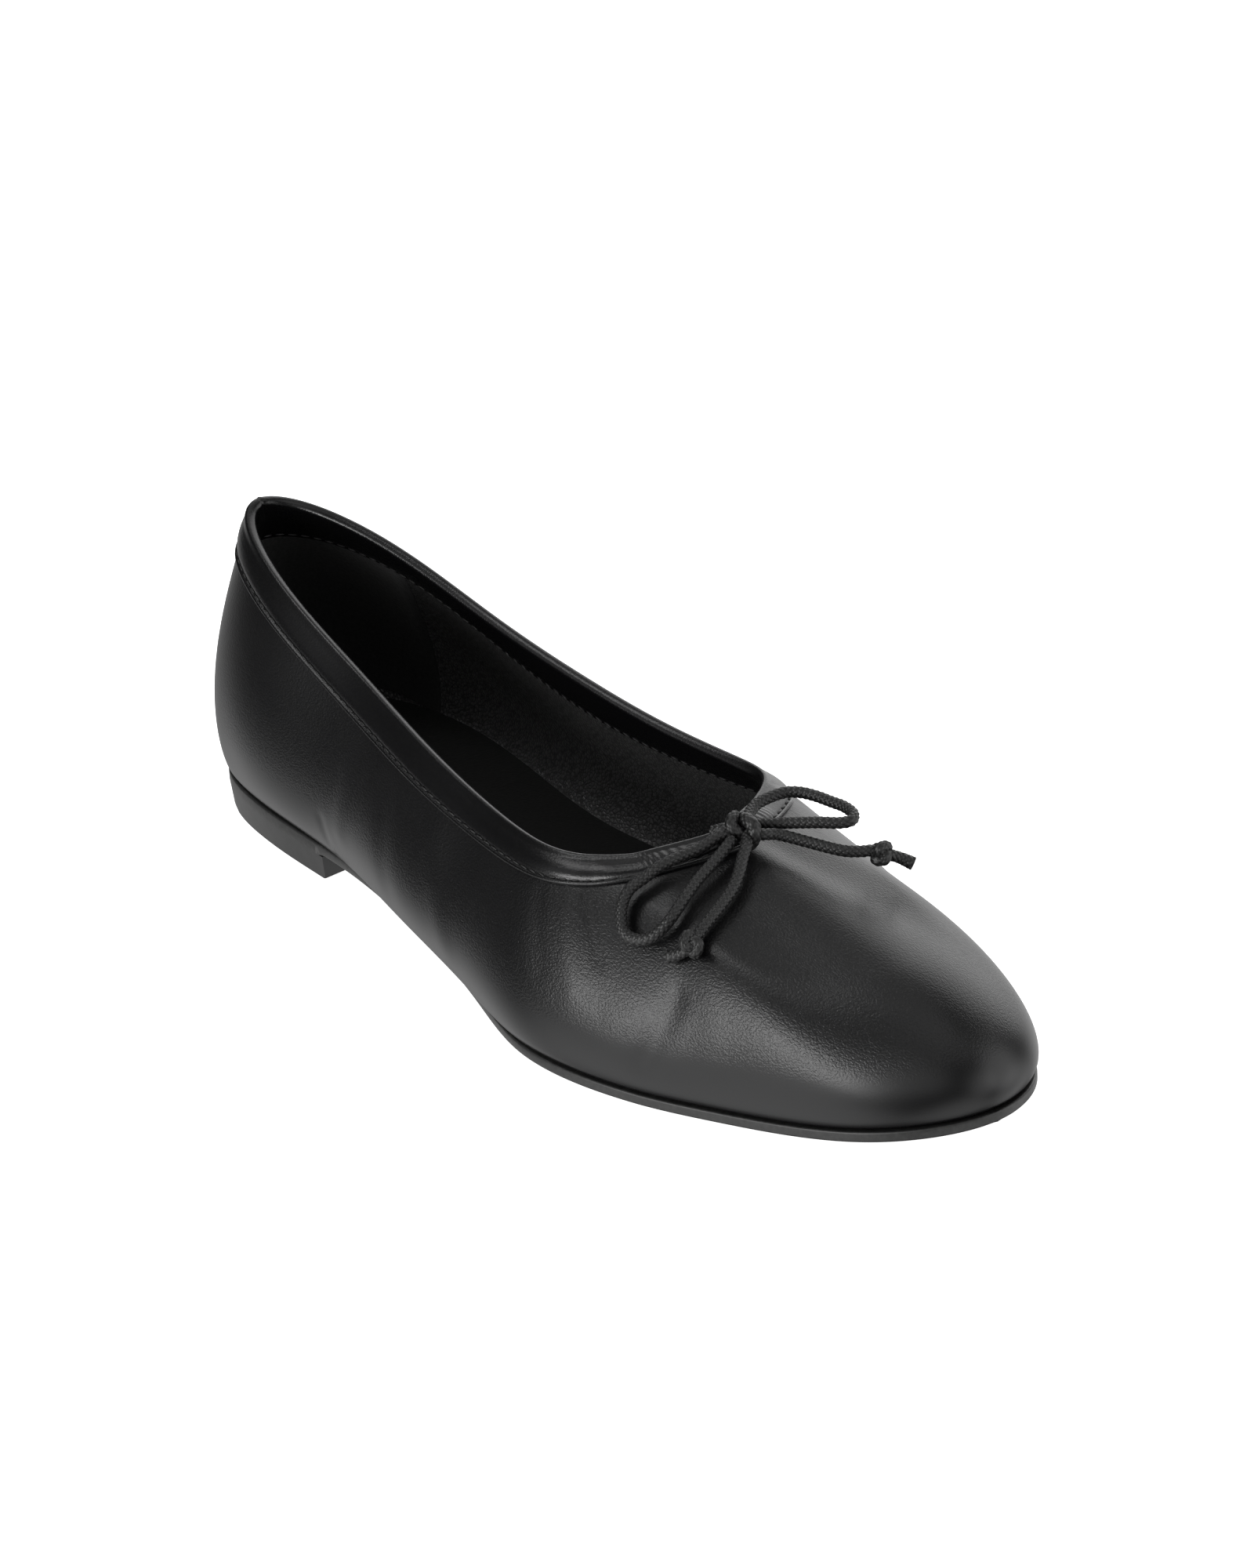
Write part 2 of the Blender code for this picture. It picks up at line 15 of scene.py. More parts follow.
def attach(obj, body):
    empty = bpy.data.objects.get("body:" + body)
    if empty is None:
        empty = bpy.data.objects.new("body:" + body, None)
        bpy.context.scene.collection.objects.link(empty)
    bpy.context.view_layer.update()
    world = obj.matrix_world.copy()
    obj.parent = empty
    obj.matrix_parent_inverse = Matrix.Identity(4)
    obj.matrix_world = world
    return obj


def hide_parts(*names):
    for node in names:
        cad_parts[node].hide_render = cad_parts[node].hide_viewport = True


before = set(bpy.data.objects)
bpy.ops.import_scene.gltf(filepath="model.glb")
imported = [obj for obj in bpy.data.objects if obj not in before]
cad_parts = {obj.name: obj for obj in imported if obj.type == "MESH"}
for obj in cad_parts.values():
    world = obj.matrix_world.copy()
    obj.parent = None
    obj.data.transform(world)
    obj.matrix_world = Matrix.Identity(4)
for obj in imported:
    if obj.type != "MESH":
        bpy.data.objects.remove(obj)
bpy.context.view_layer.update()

# Camera
# The photograph looks down on the toe from the outer side, through a long lens, a little rolled.
# The angles are in radians: round the shoe from its toe, up from the floor, and the picture's roll.
AZIMUTH = 0.6477
ELEVATION = 0.4886
ROLL = -0.0646
DISTANCE = 1.39022
LENS = 145.17
AIM = Vector((0.077426, 0.020500, 0.025))

toward = Vector(
    (
        math.cos(ELEVATION) * math.cos(AZIMUTH),
        -math.cos(ELEVATION) * math.sin(AZIMUTH),
        math.sin(ELEVATION),
    )
)
level_right = (-toward).cross(Vector((0, 0, 1))).normalized()
level_up = level_right.cross(-toward)
picture_right = level_right * math.cos(ROLL) + level_up * math.sin(ROLL)
picture_up = level_up * math.cos(ROLL) - level_right * math.sin(ROLL)
camera = bpy.data.objects.new("camera", bpy.data.cameras.new("camera"))
camera.data.lens = LENS
camera.data.sensor_width = 36
camera.data.clip_start = 0.05
camera.data.clip_end = 100
camera.matrix_world = Matrix.Translation(AIM + toward * DISTANCE) @ Matrix(
    (picture_right, picture_up, toward)
).transposed().to_4x4()
bpy.context.scene.collection.objects.link(camera)
bpy.context.scene.camera = camera
bpy.context.scene.view_settings.view_transform = "Standard"

# Floor and light
# A white sweep under the shoe, a wide soft light low on the picture's left that draws the highlight
# along the vamp, a second one behind the shoe, and a dim room with a few pale cards.
FLOOR_WHITE = "F4F4F4"
FLOOR_GLOW = 0.93
FLOOR_RADIUS = 30
FLOOR_DROP = 0.0002
MIDDLE_OF_SHOE = Vector((0.1, 0, 0.02))
ROOM_GREY = 0.05
CARD_CORE = 0.35  # share of a card's spread that has its full brightness


def linear(hex_colour):
    """An sRGB hex value as linear red, green, blue and alpha."""
    parts = [int(hex_colour[i : i + 2], 16) / 255 for i in (0, 2, 4)]
    return (*(c / 12.92 if c <= 0.04045 else ((c + 0.055) / 1.055) ** 2.4 for c in parts), 1)


def add_node(tree, kind, inputs=None, stops=(), **settings):
    """Adds a node with its settings, links or sets its inputs, and moves a ramp's two stops."""
    node = tree.nodes.new(kind)
    for element, (position, colour) in zip(node.color_ramp.elements if stops else (), stops):
        element.position = position
        element.color = linear(colour)
    for name, value in settings.items():
        setattr(node, name, value)
    for socket, value in (inputs or {}).items():
        if isinstance(value, bpy.types.NodeSocket):
            tree.links.new(value, node.inputs[socket])
        else:
            node.inputs[socket].default_value = value
    return node


def new_material(name, **sockets):
    """A Principled material whose uniform values sit on the shader's own sockets."""
    material = bpy.data.materials.new(name)
    material.use_nodes = True
    tree = material.node_tree
    shader = tree.nodes["Principled BSDF"]
    for socket, value in sockets.items():
        shader.inputs[socket.replace("_", " ")].default_value = value
    return material, tree, shader


bm = bmesh.new()
bmesh.ops.create_circle(bm, cap_ends=True, segments=64, radius=FLOOR_RADIUS)
floor_mesh = bpy.data.meshes.new("floor")
bm.to_mesh(floor_mesh)
bm.free()
floor = bpy.data.objects.new("floor", floor_mesh)
bpy.context.scene.collection.objects.link(floor)
# A roll of matt white paper. It glows a little, as it does in a bright studio, so that the shoe's
# shadow stays faint, and the leather doesn't mirror it.
floor_paint, _, _ = new_material(
    "white_sweep", Base_Color=linear(FLOOR_WHITE), Roughness=0.8, Emission_Color=(1, 1, 1, 1),
    Emission_Strength=FLOOR_GLOW, Specular_IOR_Level=0.1,
)
floor_mesh.materials.append(floor_paint)
floor.visible_glossy = False
floor.location.z = -FLOOR_DROP


def bearing(turned, raised):
    """A direction from the shoe: degrees right of the camera's side, and above the floor."""
    flat = Vector((toward.x, toward.y, 0)).normalized()
    ahead = math.radians(turned)
    lift = math.radians(raised)
    return (flat * math.cos(ahead) + level_right * math.sin(ahead)) * math.cos(lift) + Vector(
        (0, 0, math.sin(lift))
    )


def softbox(name, towards, distance, width, tall, brightness):
    """A rectangular soft light that faces the shoe. Its brightness is that of its lit face."""
    data = bpy.data.lights.new(name, "AREA")
    data.shape = "RECTANGLE"
    data.size = width
    data.size_y = tall
    data.energy = brightness * math.pi * width * tall
    lamp = bpy.data.objects.new(name, data)
    lamp.location = MIDDLE_OF_SHOE + towards * distance
    lamp.rotation_mode = "QUATERNION"
    lamp.rotation_quaternion = towards.to_track_quat("Z", "Y")
    lamp.visible_camera = False
    bpy.context.scene.collection.objects.link(lamp)


softbox("left_softbox", bearing(-54, 16), 1.3, 0.78, 0.48, 7.8)
softbox("back_softbox", bearing(160, 24), 1.4, 1.7, 1.1, 1.25)

world = bpy.data.worlds.new("dim_room")
world.use_nodes = True
bpy.context.scene.world = world
room = world.node_tree
direction = add_node(room, "ShaderNodeTexCoord").outputs["Generated"]
# Pale cards round the set: degrees right of the camera's side, degrees up, brightness, and degrees
# from a card's middle to its edge
CARDS = (
    (-62, -28, 1.3, 40), (20, -34, 1.0, 42), (96, -26, 1.0, 40), (-122, -38, 0.55, 26),
    (160, -12, 1.0, 34), (-150, -26, 0.45, 32), (46, 14, 1.0, 26), (82, 18, 1.3, 38),
    (-20, 34, 0.7, 28), (-78, 38, 0.5, 22), (-112, 60, 4.2, 12), (178, 56, 0.35, 36),
    (34, 76, 0.7, 28), (-92, 14, 0.25, 12),
)
lit = ROOM_GREY
for turned, raised, brightness, spread in CARDS:
    facing = add_node(
        room, "ShaderNodeVectorMath", {0: direction, 1: bearing(turned, raised)},
        operation="DOT_PRODUCT",
    )
    card = add_node(
        room, "ShaderNodeMapRange",
        {
            "Value": facing.outputs["Value"], "From Min": math.cos(math.radians(spread)),
            "From Max": math.cos(math.radians(spread * CARD_CORE)), "To Max": brightness,
        },
        interpolation_type="SMOOTHSTEP",
    )
    lit = add_node(room, "ShaderNodeMath", {0: lit, 1: card.outputs["Result"]}).outputs["Value"]
room.links.new(lit, room.nodes["Background"].inputs["Strength"])
room.nodes["Background"].inputs["Color"].default_value = (1, 1, 1, 1)

# The last
# The wooden form that the shoe is pulled over. These tables and rules are the ones the solids were
# made with, read here in finer sections, so that every piece lies where its solid does.
LENGTH = 0.252
HEEL_WIDTH = 0.054
BALL_WIDTH = 0.082
BACK_HEIGHT = 0.067
INSTEP_HEIGHT = 0.045
SWELL = 0.006
TOE_BOX = 0.029
HEEL_HEIGHT = 0.0058
HEEL_LENGTH = 0.0545
TOE_SPRING = 0.009
OUTSOLE = 0.0025
FEATHER = 0.0014
BINDING_DEPTH = 0.0092
GAP = 0.0003
HALF = 240
FINE_ROWS = 140
ROW_CROWDING = 2.2  # how much closer the rows lie near the sole, where the wall turns
TIP_ASIDE = 0.009
THROAT_ASIDE = -0.018
SWELL_HEIGHT = 0.37
SEAT_END = 0.250
TREAD_START = 0.600
TREAD_END = 0.720
SPRING_CURVE = 1.8


def columns(names, *rows):
    """A table as one array for each named column."""
    return {name: np.array([row[i] for row in rows], float) for i, name in enumerate(names)}


FOOT = columns(
    ("along", "ball", "outer", "inner", "lip"),
    (0.016, 0.0, 0.000, 0.000, 0.0),
    (0.035, 0.0, 0.315, 0.300, 0.0),
    (0.120, 0.0, 0.480, 0.485, 0.0),
    (0.250, 0.0, 0.535, 0.465, -0.8),
    (0.380, 0.5, 0.505, 0.325, -3.0),
    (0.500, 1.0, 0.480, 0.340, -1.8),
    (0.600, 1.0, 0.535, 0.400, -0.2),
    (0.700, 1.0, 0.500, 0.450, 0.0),
    (0.800, 1.0, 0.400, 0.405, 0.0),
    (0.890, 1.0, 0.310, 0.350, 0.0),
    (0.955, 1.0, 0.205, 0.265, 0.1),
    (1.000, 1.0, 0.000, 0.000, 0.3),
)
TOPLINE = columns(
    ("along", "outer", "inner", "back", "instep", "band"),
    (0.020, 0.000, 0.000, 1.00, 0.000, 1.00),
    (0.040, 0.120, 0.145, 0.93, 0.060, 1.00),
    (0.120, 0.245, 0.280, 0.75, 0.215, 1.00),
    (0.250, 0.320, 0.360, 0.45, 0.465, 1.00),
    (0.375, 0.330, 0.315, 0.20, 0.720, 0.97),
    (0.482, 0.315, 0.290, 0.05, 0.870, 0.92),
    (0.563, 0.335, 0.310, 0.00, 0.930, 0.88),
    (0.608, 0.295, 0.280, 0.00, 0.935, 0.86),
    (0.636, 0.230, 0.170, 0.00, 0.953, 0.85),
    (0.646, 0.185, 0.115, 0.00, 0.967, 0.85),
    (0.657, 0.105, 0.048, 0.00, 0.978, 0.85),
    (0.669, 0.000, 0.000, 0.00, 1.000, 0.85),
)
WALLS = columns(
    ("box", "shoulder", "outer", "inner"),
    (0.00, 1.00, 1.00, 1.00),
    (0.00, 1.00, 0.50, 0.90),
    (0.00, 1.00, 0.50, 0.83),
    (0.00, 1.00, 0.38, 0.91),
    (0.00, 1.00, 0.48, 0.98),
    (0.05, 1.00, 0.42, 0.90),
    (0.20, 0.90, 0.35, 0.82),
    (0.65, 0.68, 0.27, 0.75),
    (0.90, 0.60, 0.20, 0.67),
    (1.00, 0.53, 0.17, 0.50),
    (1.00, 0.46, 0.15, 0.30),
    (1.00, 0.49, 0.20, 0.20),
)
SHIFT = FOOT["along"][0] * LENGTH + HEEL_LENGTH / 2  # from the last's own zero to the frame's


def sole_bottom(x):
    """Height of the outsole's underside over the floor."""
    share = x / LENGTH
    arch = np.clip((TREAD_START - share) / (TREAD_START - SEAT_END), 0, 1)
    spring = np.clip((share - TREAD_END) / (1 - TREAD_END), 0, None)
    return (HEEL_HEIGHT + GAP) * arch**2 * (3 - 2 * arch) + TOE_SPRING * spring**SPRING_CURVE


def on_sole(plan, height):
    """Points at this height over the outsole's top face."""
    z = sole_bottom(plan[..., 0]) + OUTSOLE + height
    return np.concatenate([plan, np.broadcast_to(z, plan.shape[:-1])[..., None]], axis=-1)


class Ring:
    """Smooth closed curves through a table's rows, in fine sections up the outer side and back."""

    def __init__(self, plan):
        rows = len(plan) // 2
        self.spans = np.linalg.norm(np.roll(plan, -1, axis=0) - plan, axis=1)
        self.knots = np.concatenate([[0], np.cumsum(self.spans)])
        outer = self.knots[: rows + 1]
        inner = self.knots[-1] - self.knots[rows:][::-1]
        place = np.arange(rows + 1)
        mean = (outer + inner) / 2
        at = np.interp(np.linspace(0, mean[-1], HALF + 1), mean, place)
        self.at = np.concatenate(
            [np.interp(at, place, outer), self.knots[-1] - np.interp(at[1:-1], place, inner)[::-1]]
        )

    def curve(self, values, shift=0.0):
        """A periodic cubic spline through the values, read at each section."""
        n = len(values)
        flat = np.asarray(values, float).reshape(n, -1)
        h = self.spans
        slope = (np.roll(flat, -1, axis=0) - flat) / h[:, None]
        matrix = np.zeros((n, n))
        for i in range(n):
            matrix[i, i - 1] += h[i - 1]
            matrix[i, i] += 2 * (h[i - 1] + h[i])
            matrix[i, (i + 1) % n] += h[i]
        bend = np.linalg.solve(matrix, 6 * (slope - np.roll(slope, 1, axis=0)))
        at = (self.at + shift) % self.knots[-1]
        i = np.clip(np.searchsorted(self.knots, at, side="right") - 1, 0, n - 1)
        after = (i + 1) % n
        u = (at - self.knots[i])[:, None]
        v = h[i][:, None] - u
        span = h[i][:, None]
        found = (
            (bend[i] * v**3 + bend[after] * u**3) / (6 * span)
            + (flat[i] / span - bend[i] * span / 6) * v
            + (flat[after] / span - bend[after] * span / 6) * u
        )
        return found.reshape((len(at),) + np.shape(values)[1:])


def round_the_shoe(outer, inner):
    """One column's values for the outer side, heel to toe, then for the inner side, toe to heel."""
    return np.concatenate([outer, inner[1:-1][::-1]])


def plan_of(along, outer, inner, aside):
    """Points of a closed outline in plan, from a table's shares."""
    width = HEEL_WIDTH + (BALL_WIDTH - HEEL_WIDTH) * FOOT["ball"]
    y_outer = -outer * width
    y_inner = inner * width
    y_outer[-1] = aside * BALL_WIDTH
    x = round_the_shoe(along, along) * LENGTH
    return np.stack([x, round_the_shoe(y_outer, y_inner)], axis=1)


FOOT_PLAN = plan_of(FOOT["along"], FOOT["outer"], FOOT["inner"], TIP_ASIDE)
RING = Ring(FOOT_PLAN)
FEATHER_LINE = RING.curve(FOOT_PLAN)
ALONG = RING.curve(FOOT_PLAN, LENGTH / 500) - RING.curve(FOOT_PLAN, -LENGTH / 500)
OUTWARD = np.stack([ALONG[:, 1], -ALONG[:, 0]], axis=1)
OUTWARD = OUTWARD / np.linalg.norm(OUTWARD, axis=1)[:, None]


def both_sides(outer, inner):
    """A column pair read at each section, as one column of numbers."""
    return RING.curve(round_the_shoe(outer, inner))[:, None]


def last_surface():
    """The upper's outer skin in fine rows from feather line to topline, and its unit normals."""
    height = TOPLINE["back"] * BACK_HEIGHT + TOPLINE["instep"] * INSTEP_HEIGHT
    top = RING.curve(plan_of(TOPLINE["along"], TOPLINE["outer"], TOPLINE["inner"], THROAT_ASIDE))
    top_z = both_sides(height, height)
    box = both_sides(WALLS["box"], WALLS["box"])
    shoulder = both_sides(WALLS["shoulder"], WALLS["shoulder"])
    swell = both_sides(WALLS["outer"], WALLS["inner"]) * SWELL
    foot = on_sole(FEATHER_LINE, FEATHER)
    reach = np.linalg.norm(top - FEATHER_LINE, axis=1)[:, None]
    inward = np.linspace(0, 1, FINE_ROWS)[None, :] ** ROW_CROWDING
    rounded = (1 - box) * reach + box * np.minimum(TOE_BOX, reach)
    rise = np.clip(inward * reach / rounded, 0, 1)
    rise = np.sqrt(1 - (1 - rise) ** (1 + box))
    share = shoulder * rise + (1 - shoulder) * inward
    bow = np.sin(np.pi * share ** (np.log(0.5) / np.log(SWELL_HEIGHT)))
    plan = (
        FEATHER_LINE[:, None]
        + (top - FEATHER_LINE)[:, None] * inward[..., None]
        + OUTWARD[:, None] * (swell * bow)[..., None]
    )
    z = foot[:, 2:] + (top_z - foot[:, 2:]) * share
    skin = np.concatenate([plan, z[..., None]], axis=2)
    along = np.roll(skin, -1, axis=0) - np.roll(skin, 1, axis=0)
    normals = np.cross(along, np.gradient(skin, axis=1))
    return skin, normals / np.linalg.norm(normals, axis=2)[..., None]


SKIN, SKIN_NORMALS = last_surface()
WALL_STEPS = np.linalg.norm(np.diff(SKIN, axis=1), axis=2)
WALL_WALK = np.concatenate([np.zeros((len(SKIN), 1)), np.cumsum(WALL_STEPS, axis=1)], axis=1)
WALL_LENGTH = WALL_WALK[:, -1]
BAND = both_sides(TOPLINE["band"], TOPLINE["band"])[:, 0] * BINDING_DEPTH

# Outsole
# A leather outsole, 2.5 mm thick, cut by a die, its edge trimmed, rounded a little, inked black and
# burnished. The upper is cemented on to its top face. The heel is buffed flush with it.
MM = 0.001
LIP = 0.001
EDGE_ROUND = 0.0005
PLATE_SHARES = (0.0, 0.35, 0.7, 0.92)
SOLE_FIBRE = 0.0011  # width of one mottle of its fibres
BREAST_BLEND = 0.001  # length over which its lower edge turns square at the heel


def loft(rows, closed_across=False, ring=True, marks=None):
    """A sheet as a bmesh grid whose vertices are moved to rows of points, its seams merged.

    With ring, each row runs round the shoe and closes on itself. closed_across joins the last row
    to the first. The UV map is in millimetres, along the rows and across them. marks are numbers
    kept on the vertices by name, for the material."""
    points = np.asarray(rows, float) - np.array([SHIFT, 0, 0])
    wrap = ((0, 1 if closed_across else 0), (0, 1 if ring else 0))
    points = np.pad(points, wrap + ((0, 0),), mode="wrap")
    steps = np.linalg.norm(np.diff(points, axis=1), axis=2).mean(axis=0)
    around = np.concatenate([[0], np.cumsum(steps)]) / MM
    climbs = np.linalg.norm(np.diff(points, axis=0), axis=2).mean(axis=1)
    up = np.concatenate([[0], np.cumsum(climbs)]) / MM
    bm = bmesh.new()
    uv_layer = bm.loops.layers.uv.new("UVMap")
    layers = [bm.verts.layers.float.new(name) for name in marks or {}]
    down, across = points.shape[:2]
    bmesh.ops.create_grid(bm, x_segments=across - 1, y_segments=down - 1, size=1)
    for vert, point in zip(bm.verts, points.reshape(-1, 3)):
        vert.co = point
    for layer, values in zip(layers, (marks or {}).values()):
        for vert, value in zip(bm.verts, np.pad(values, wrap, mode="wrap").ravel()):
            vert[layer] = value
    bm.verts.index_update()
    for face in bm.faces:
        for loop in face.loops:
            index = loop.vert.index
            loop[uv_layer].uv = (around[index % across], up[index // across])
    bmesh.ops.remove_doubles(bm, verts=bm.verts, dist=1e-6)
    return bm


def finish_piece(name, bm, material, nodes=(), sharp_over=60):
    """Turns the faces out, shades the piece smooth and sets it on the shoe for its solids."""
    bmesh.ops.recalc_face_normals(bm, faces=bm.faces)
    mesh = bpy.data.meshes.new(name)
    bm.to_mesh(mesh)
    bm.free()
    mesh.shade_smooth()
    mesh.set_sharp_from_angle(angle=math.radians(sharp_over))
    mesh.materials.append(material)
    piece = bpy.data.objects.new(name, mesh)
    bpy.context.scene.collection.objects.link(piece)
    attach(piece, "root")
    if nodes:
        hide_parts(*nodes)
    return piece


def plate_rings(outline, low, high, square):
    """Rings of a plate from the middle of its top face out round its rounded edge to its underside.

    square is the share by which the lower edge stays square, in each section."""
    shares = PLATE_SHARES
    soft = 1 - square[:, None]
    back = (-np.arange(len(outline))) % len(outline)
    middle = (outline + outline[back]) / 2
    inset = outline - OUTWARD * EDGE_ROUND
    rings = [(middle + (inset - middle) * share, high, 0.0) for share in shares]
    turn = [(1 - math.cos(a), math.sin(a)) for a in np.radians((0, 30, 60, 90))]
    rings += [(inset + OUTWARD * EDGE_ROUND * s, high, c * EDGE_ROUND) for c, s in turn]
    rings += [
        (inset + OUTWARD * EDGE_ROUND * (1 - (1 - s) * soft), low, -c * EDGE_ROUND * soft[:, 0])
        for c, s in turn[::-1]
    ]
    rings += [(middle + (inset - middle) * share, low, 0.0) for share in shares[::-1]]
    rows = []
    for plan, height, drop in rings:
        row = on_sole(plan, 0)
        row[:, 2] = sole_bottom(plan[:, 0]) + height - drop
        rows.append(row)
    return rows


lip = both_sides(FOOT["lip"], FOOT["lip"]) * LIP
SOLE_EDGE = FEATHER_LINE + OUTWARD * lip
BREAST = FOOT["along"][0] * LENGTH + HEEL_LENGTH
on_heel = np.clip((BREAST - SOLE_EDGE[:, 0]) / BREAST_BLEND, 0, 1)

# Vegetable-tanned sole leather, inked and burnished: near black with a faint mottle of its fibres,
# and a dull waxed gloss along the edge.
sole_leather, tree, shader = new_material(
    "inked_sole_leather", Roughness=0.5, IOR=1.5, Coat_Weight=0.25, Coat_Roughness=0.3
)
coordinates = add_node(tree, "ShaderNodeTexCoord").outputs["Object"]
fibre = add_node(
    tree, "ShaderNodeTexNoise", {"Vector": coordinates, "Scale": 1 / SOLE_FIBRE, "Detail": 4}
)
ramp = add_node(
    tree, "ShaderNodeValToRGB", {"Fac": fibre.outputs["Fac"]},
    stops=((0.3, "131313"), (0.7, "242423")),
)
tree.links.new(ramp.outputs["Color"], shader.inputs["Base Color"])
bump = add_node(
    tree, "ShaderNodeBump", {"Height": fibre.outputs["Fac"], "Strength": 0.35, "Distance": 0.00015}
)
tree.links.new(bump.outputs["Normal"], shader.inputs["Normal"])
finish_piece(
    "leather_outsole", loft(plate_rings(SOLE_EDGE, -GAP * on_heel, OUTSOLE, on_heel)), sole_leather,
    ["outsole"],
)

# Heel
# A low block heel of black rubber, moulded in one piece and cemented under the seat. Its walls are
# buffed with the sole's edge, its breast is cut square and its foot has a small bevel.
HEEL_TAPER = 0.0004
HEEL_BEVEL = 0.0004
BEND_OVER = math.radians(30)  # edges that turn by more are bevelled
HEEL_SCUFF = 0.0028  # width of one mark of the buffing

behind = SOLE_EDGE[:, 0] < BREAST - GAP
outer_side = SOLE_EDGE[: HALF][behind[: HALF]]
inner_side = SOLE_EDGE[HALF:][behind[HALF:]]
corner_outer = (BREAST, np.interp(BREAST, SOLE_EDGE[:HALF, 0], SOLE_EDGE[:HALF, 1]))
corner_inner = (BREAST, np.interp(BREAST, SOLE_EDGE[HALF:, 0][::-1], SOLE_EDGE[HALF:, 1][::-1]))
outline = np.vstack([inner_side, outer_side, [corner_outer], [corner_inner]]) - (SHIFT, 0)
bm = bmesh.new()
corners = [bm.verts.new((x, y, HEEL_HEIGHT)) for x, y in outline]
seat = bm.faces.new(corners)
grown = bmesh.ops.extrude_face_region(bm, geom=[seat])
foot = [item for item in grown["geom"] if isinstance(item, bmesh.types.BMVert)]
taper = 1 - HEEL_TAPER / (HEEL_WIDTH / 2)
for vert in foot:
    vert.co.x = BREAST - SHIFT + (vert.co.x - BREAST + SHIFT) * taper
    vert.co.y *= taper
    vert.co.z = 0
rims = [
    edge for edge in bm.edges
    if edge.calc_face_angle(0) > BEND_OVER and min(v.co.z for v in edge.verts) < HEEL_HEIGHT / 2
]
bmesh.ops.bevel(
    bm, geom=rims, offset=HEEL_BEVEL, offset_type="OFFSET", segments=3, profile=0.5,
    affect="EDGES", material=-1, clamp_overlap=True,
)
# Carbon-black rubber, buffed: even and close to matt, a shade paler than the leather beside it.
heel_rubber, tree, shader = new_material("buffed_heel_rubber", Roughness=0.42, IOR=1.5)
coordinates = add_node(tree, "ShaderNodeTexCoord").outputs["Object"]
rubbed = add_node(
    tree, "ShaderNodeTexNoise", {"Vector": coordinates, "Scale": 1 / HEEL_SCUFF, "Detail": 5}
)
ramp = add_node(
    tree, "ShaderNodeValToRGB", {"Fac": rubbed.outputs["Fac"]},
    stops=((0.3, "141414"), (0.7, "1D1D1D")),
)
tree.links.new(ramp.outputs["Color"], shader.inputs["Base Color"])
bump = add_node(
    tree, "ShaderNodeBump", {"Height": rubbed.outputs["Fac"], "Strength": 0.25, "Distance": 0.0001}
)
tree.links.new(bump.outputs["Normal"], shader.inputs["Normal"])
finish_piece("rubber_heel", bm, heel_rubber, ["heel"], 40)

# Insole
# A sock of black goat suede over a thin board, cemented inside the shoe. It keeps its solid, whose
# shape is right, and gets a finish of its own.
SOCK_NAP = 0.0008  # width of one tuft of the nap

# Suede, buffed on the flesh side: a short dense nap that swallows the light, with no gloss.
suede_sock, tree, shader = new_material(
    "suede_sock", Roughness=0.85, IOR=1.4, Sheen_Weight=0.04, Sheen_Roughness=0.5
)
coordinates = add_node(tree, "ShaderNodeTexCoord").outputs["Object"]
nap = add_node(
    tree, "ShaderNodeTexNoise", {"Vector": coordinates, "Scale": 1 / SOCK_NAP, "Detail": 3}
)
ramp = add_node(
    tree, "ShaderNodeValToRGB", {"Fac": nap.outputs["Fac"]},
    stops=((0.3, "060606"), (0.7, "0B0B0B")),
)
tree.links.new(ramp.outputs["Color"], shader.inputs["Base Color"])
bump = add_node(
    tree, "ShaderNodeBump", {"Height": nap.outputs["Fac"], "Strength": 0.5, "Distance": 0.0002}
)
tree.links.new(bump.outputs["Normal"], shader.inputs["Normal"])
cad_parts["insole"].data.materials.clear()
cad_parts["insole"].data.materials.append(suede_sock)

# Upper
# One piece of black nappa, full-grain sheepskin 0.8 mm thick, pulled over the last and turned under
# at the sole, where its margin is cemented. It keeps a few shallow creases from the lasting.
NAPPA = 0.00075
NAPPA_EDGE = 0.0005  # thickness where it is skived for the binding
MARGIN = 0.0085
BINDING = 0.0008
UPPER_ROWS = 72
INNER_SHARES = (1, 0.8, 0.6, 0.4, 0.25, 0.12, 0.04)  # rows of its back, as shares of the wall
GRAIN = 0.0004  # width of one ripple of the grain
GRAIN_HEIGHT = 0.000032
SHEEN_PATCH = 0.022  # width of a place where the finish is a little duller
MARGIN_GRAIN = 0.1  # share of the grain's height that is left on the margin
LOW_GRAIN = 0.06  # and low on the wall
SMOOTH_UP_TO = 0.0125  # height over the sole up to which it is so, and from there the fade
GRAIN_FADE = 0.004
STIFFENER_FROM = 0.70  # turn from which the stiffener flattens it, and from there the fade
STIFFENER_FADE = 0.15
STIFFENER_LOSS = 0.3
# Creases: where each runs, as turn and millimetres below the topline at both ends, then its depth
# and half width in millimetres. A ridge has a negative depth.
CREASES = columns(
    ("turn_a", "down_a", "turn_b", "down_b", "depth", "width"),
    (-0.243, 37.0, -0.284, 47.0, 0.36, 3.4),
    (-0.290, 34.0, -0.315, 42.0, -0.12, 5.0),
    (-0.200, 38.0, -0.225, 52.0, -0.15, 6.0),
    (-0.735, 36.0, -0.722, 44.0, 0.16, 1.6),
    (-0.700, 20.0, -0.705, 34.0, -0.14, 3.0),
    (-0.640, 16.0, -0.620, 34.0, 0.16, 4.0),
    (-0.560, 14.0, -0.530, 34.0, -0.16, 4.5),
    (-0.330, 12.0, -0.318, 24.0, 0.14, 2.4),
    (-0.360, 14.0, -0.350, 30.0, -0.14, 3.4),
    (-0.400, 12.0, -0.385, 26.0, 0.12, 3.0),
    (0.560, 14.0, 0.530, 34.0, 0.16, 4.5),
    (0.640, 16.0, 0.620, 34.0, -0.16, 4.0),
    (0.330, 14.0, 0.318, 28.0, 0.14, 3.0),
    (0.250, 30.0, 0.272, 44.0, 0.22, 4.0),
)
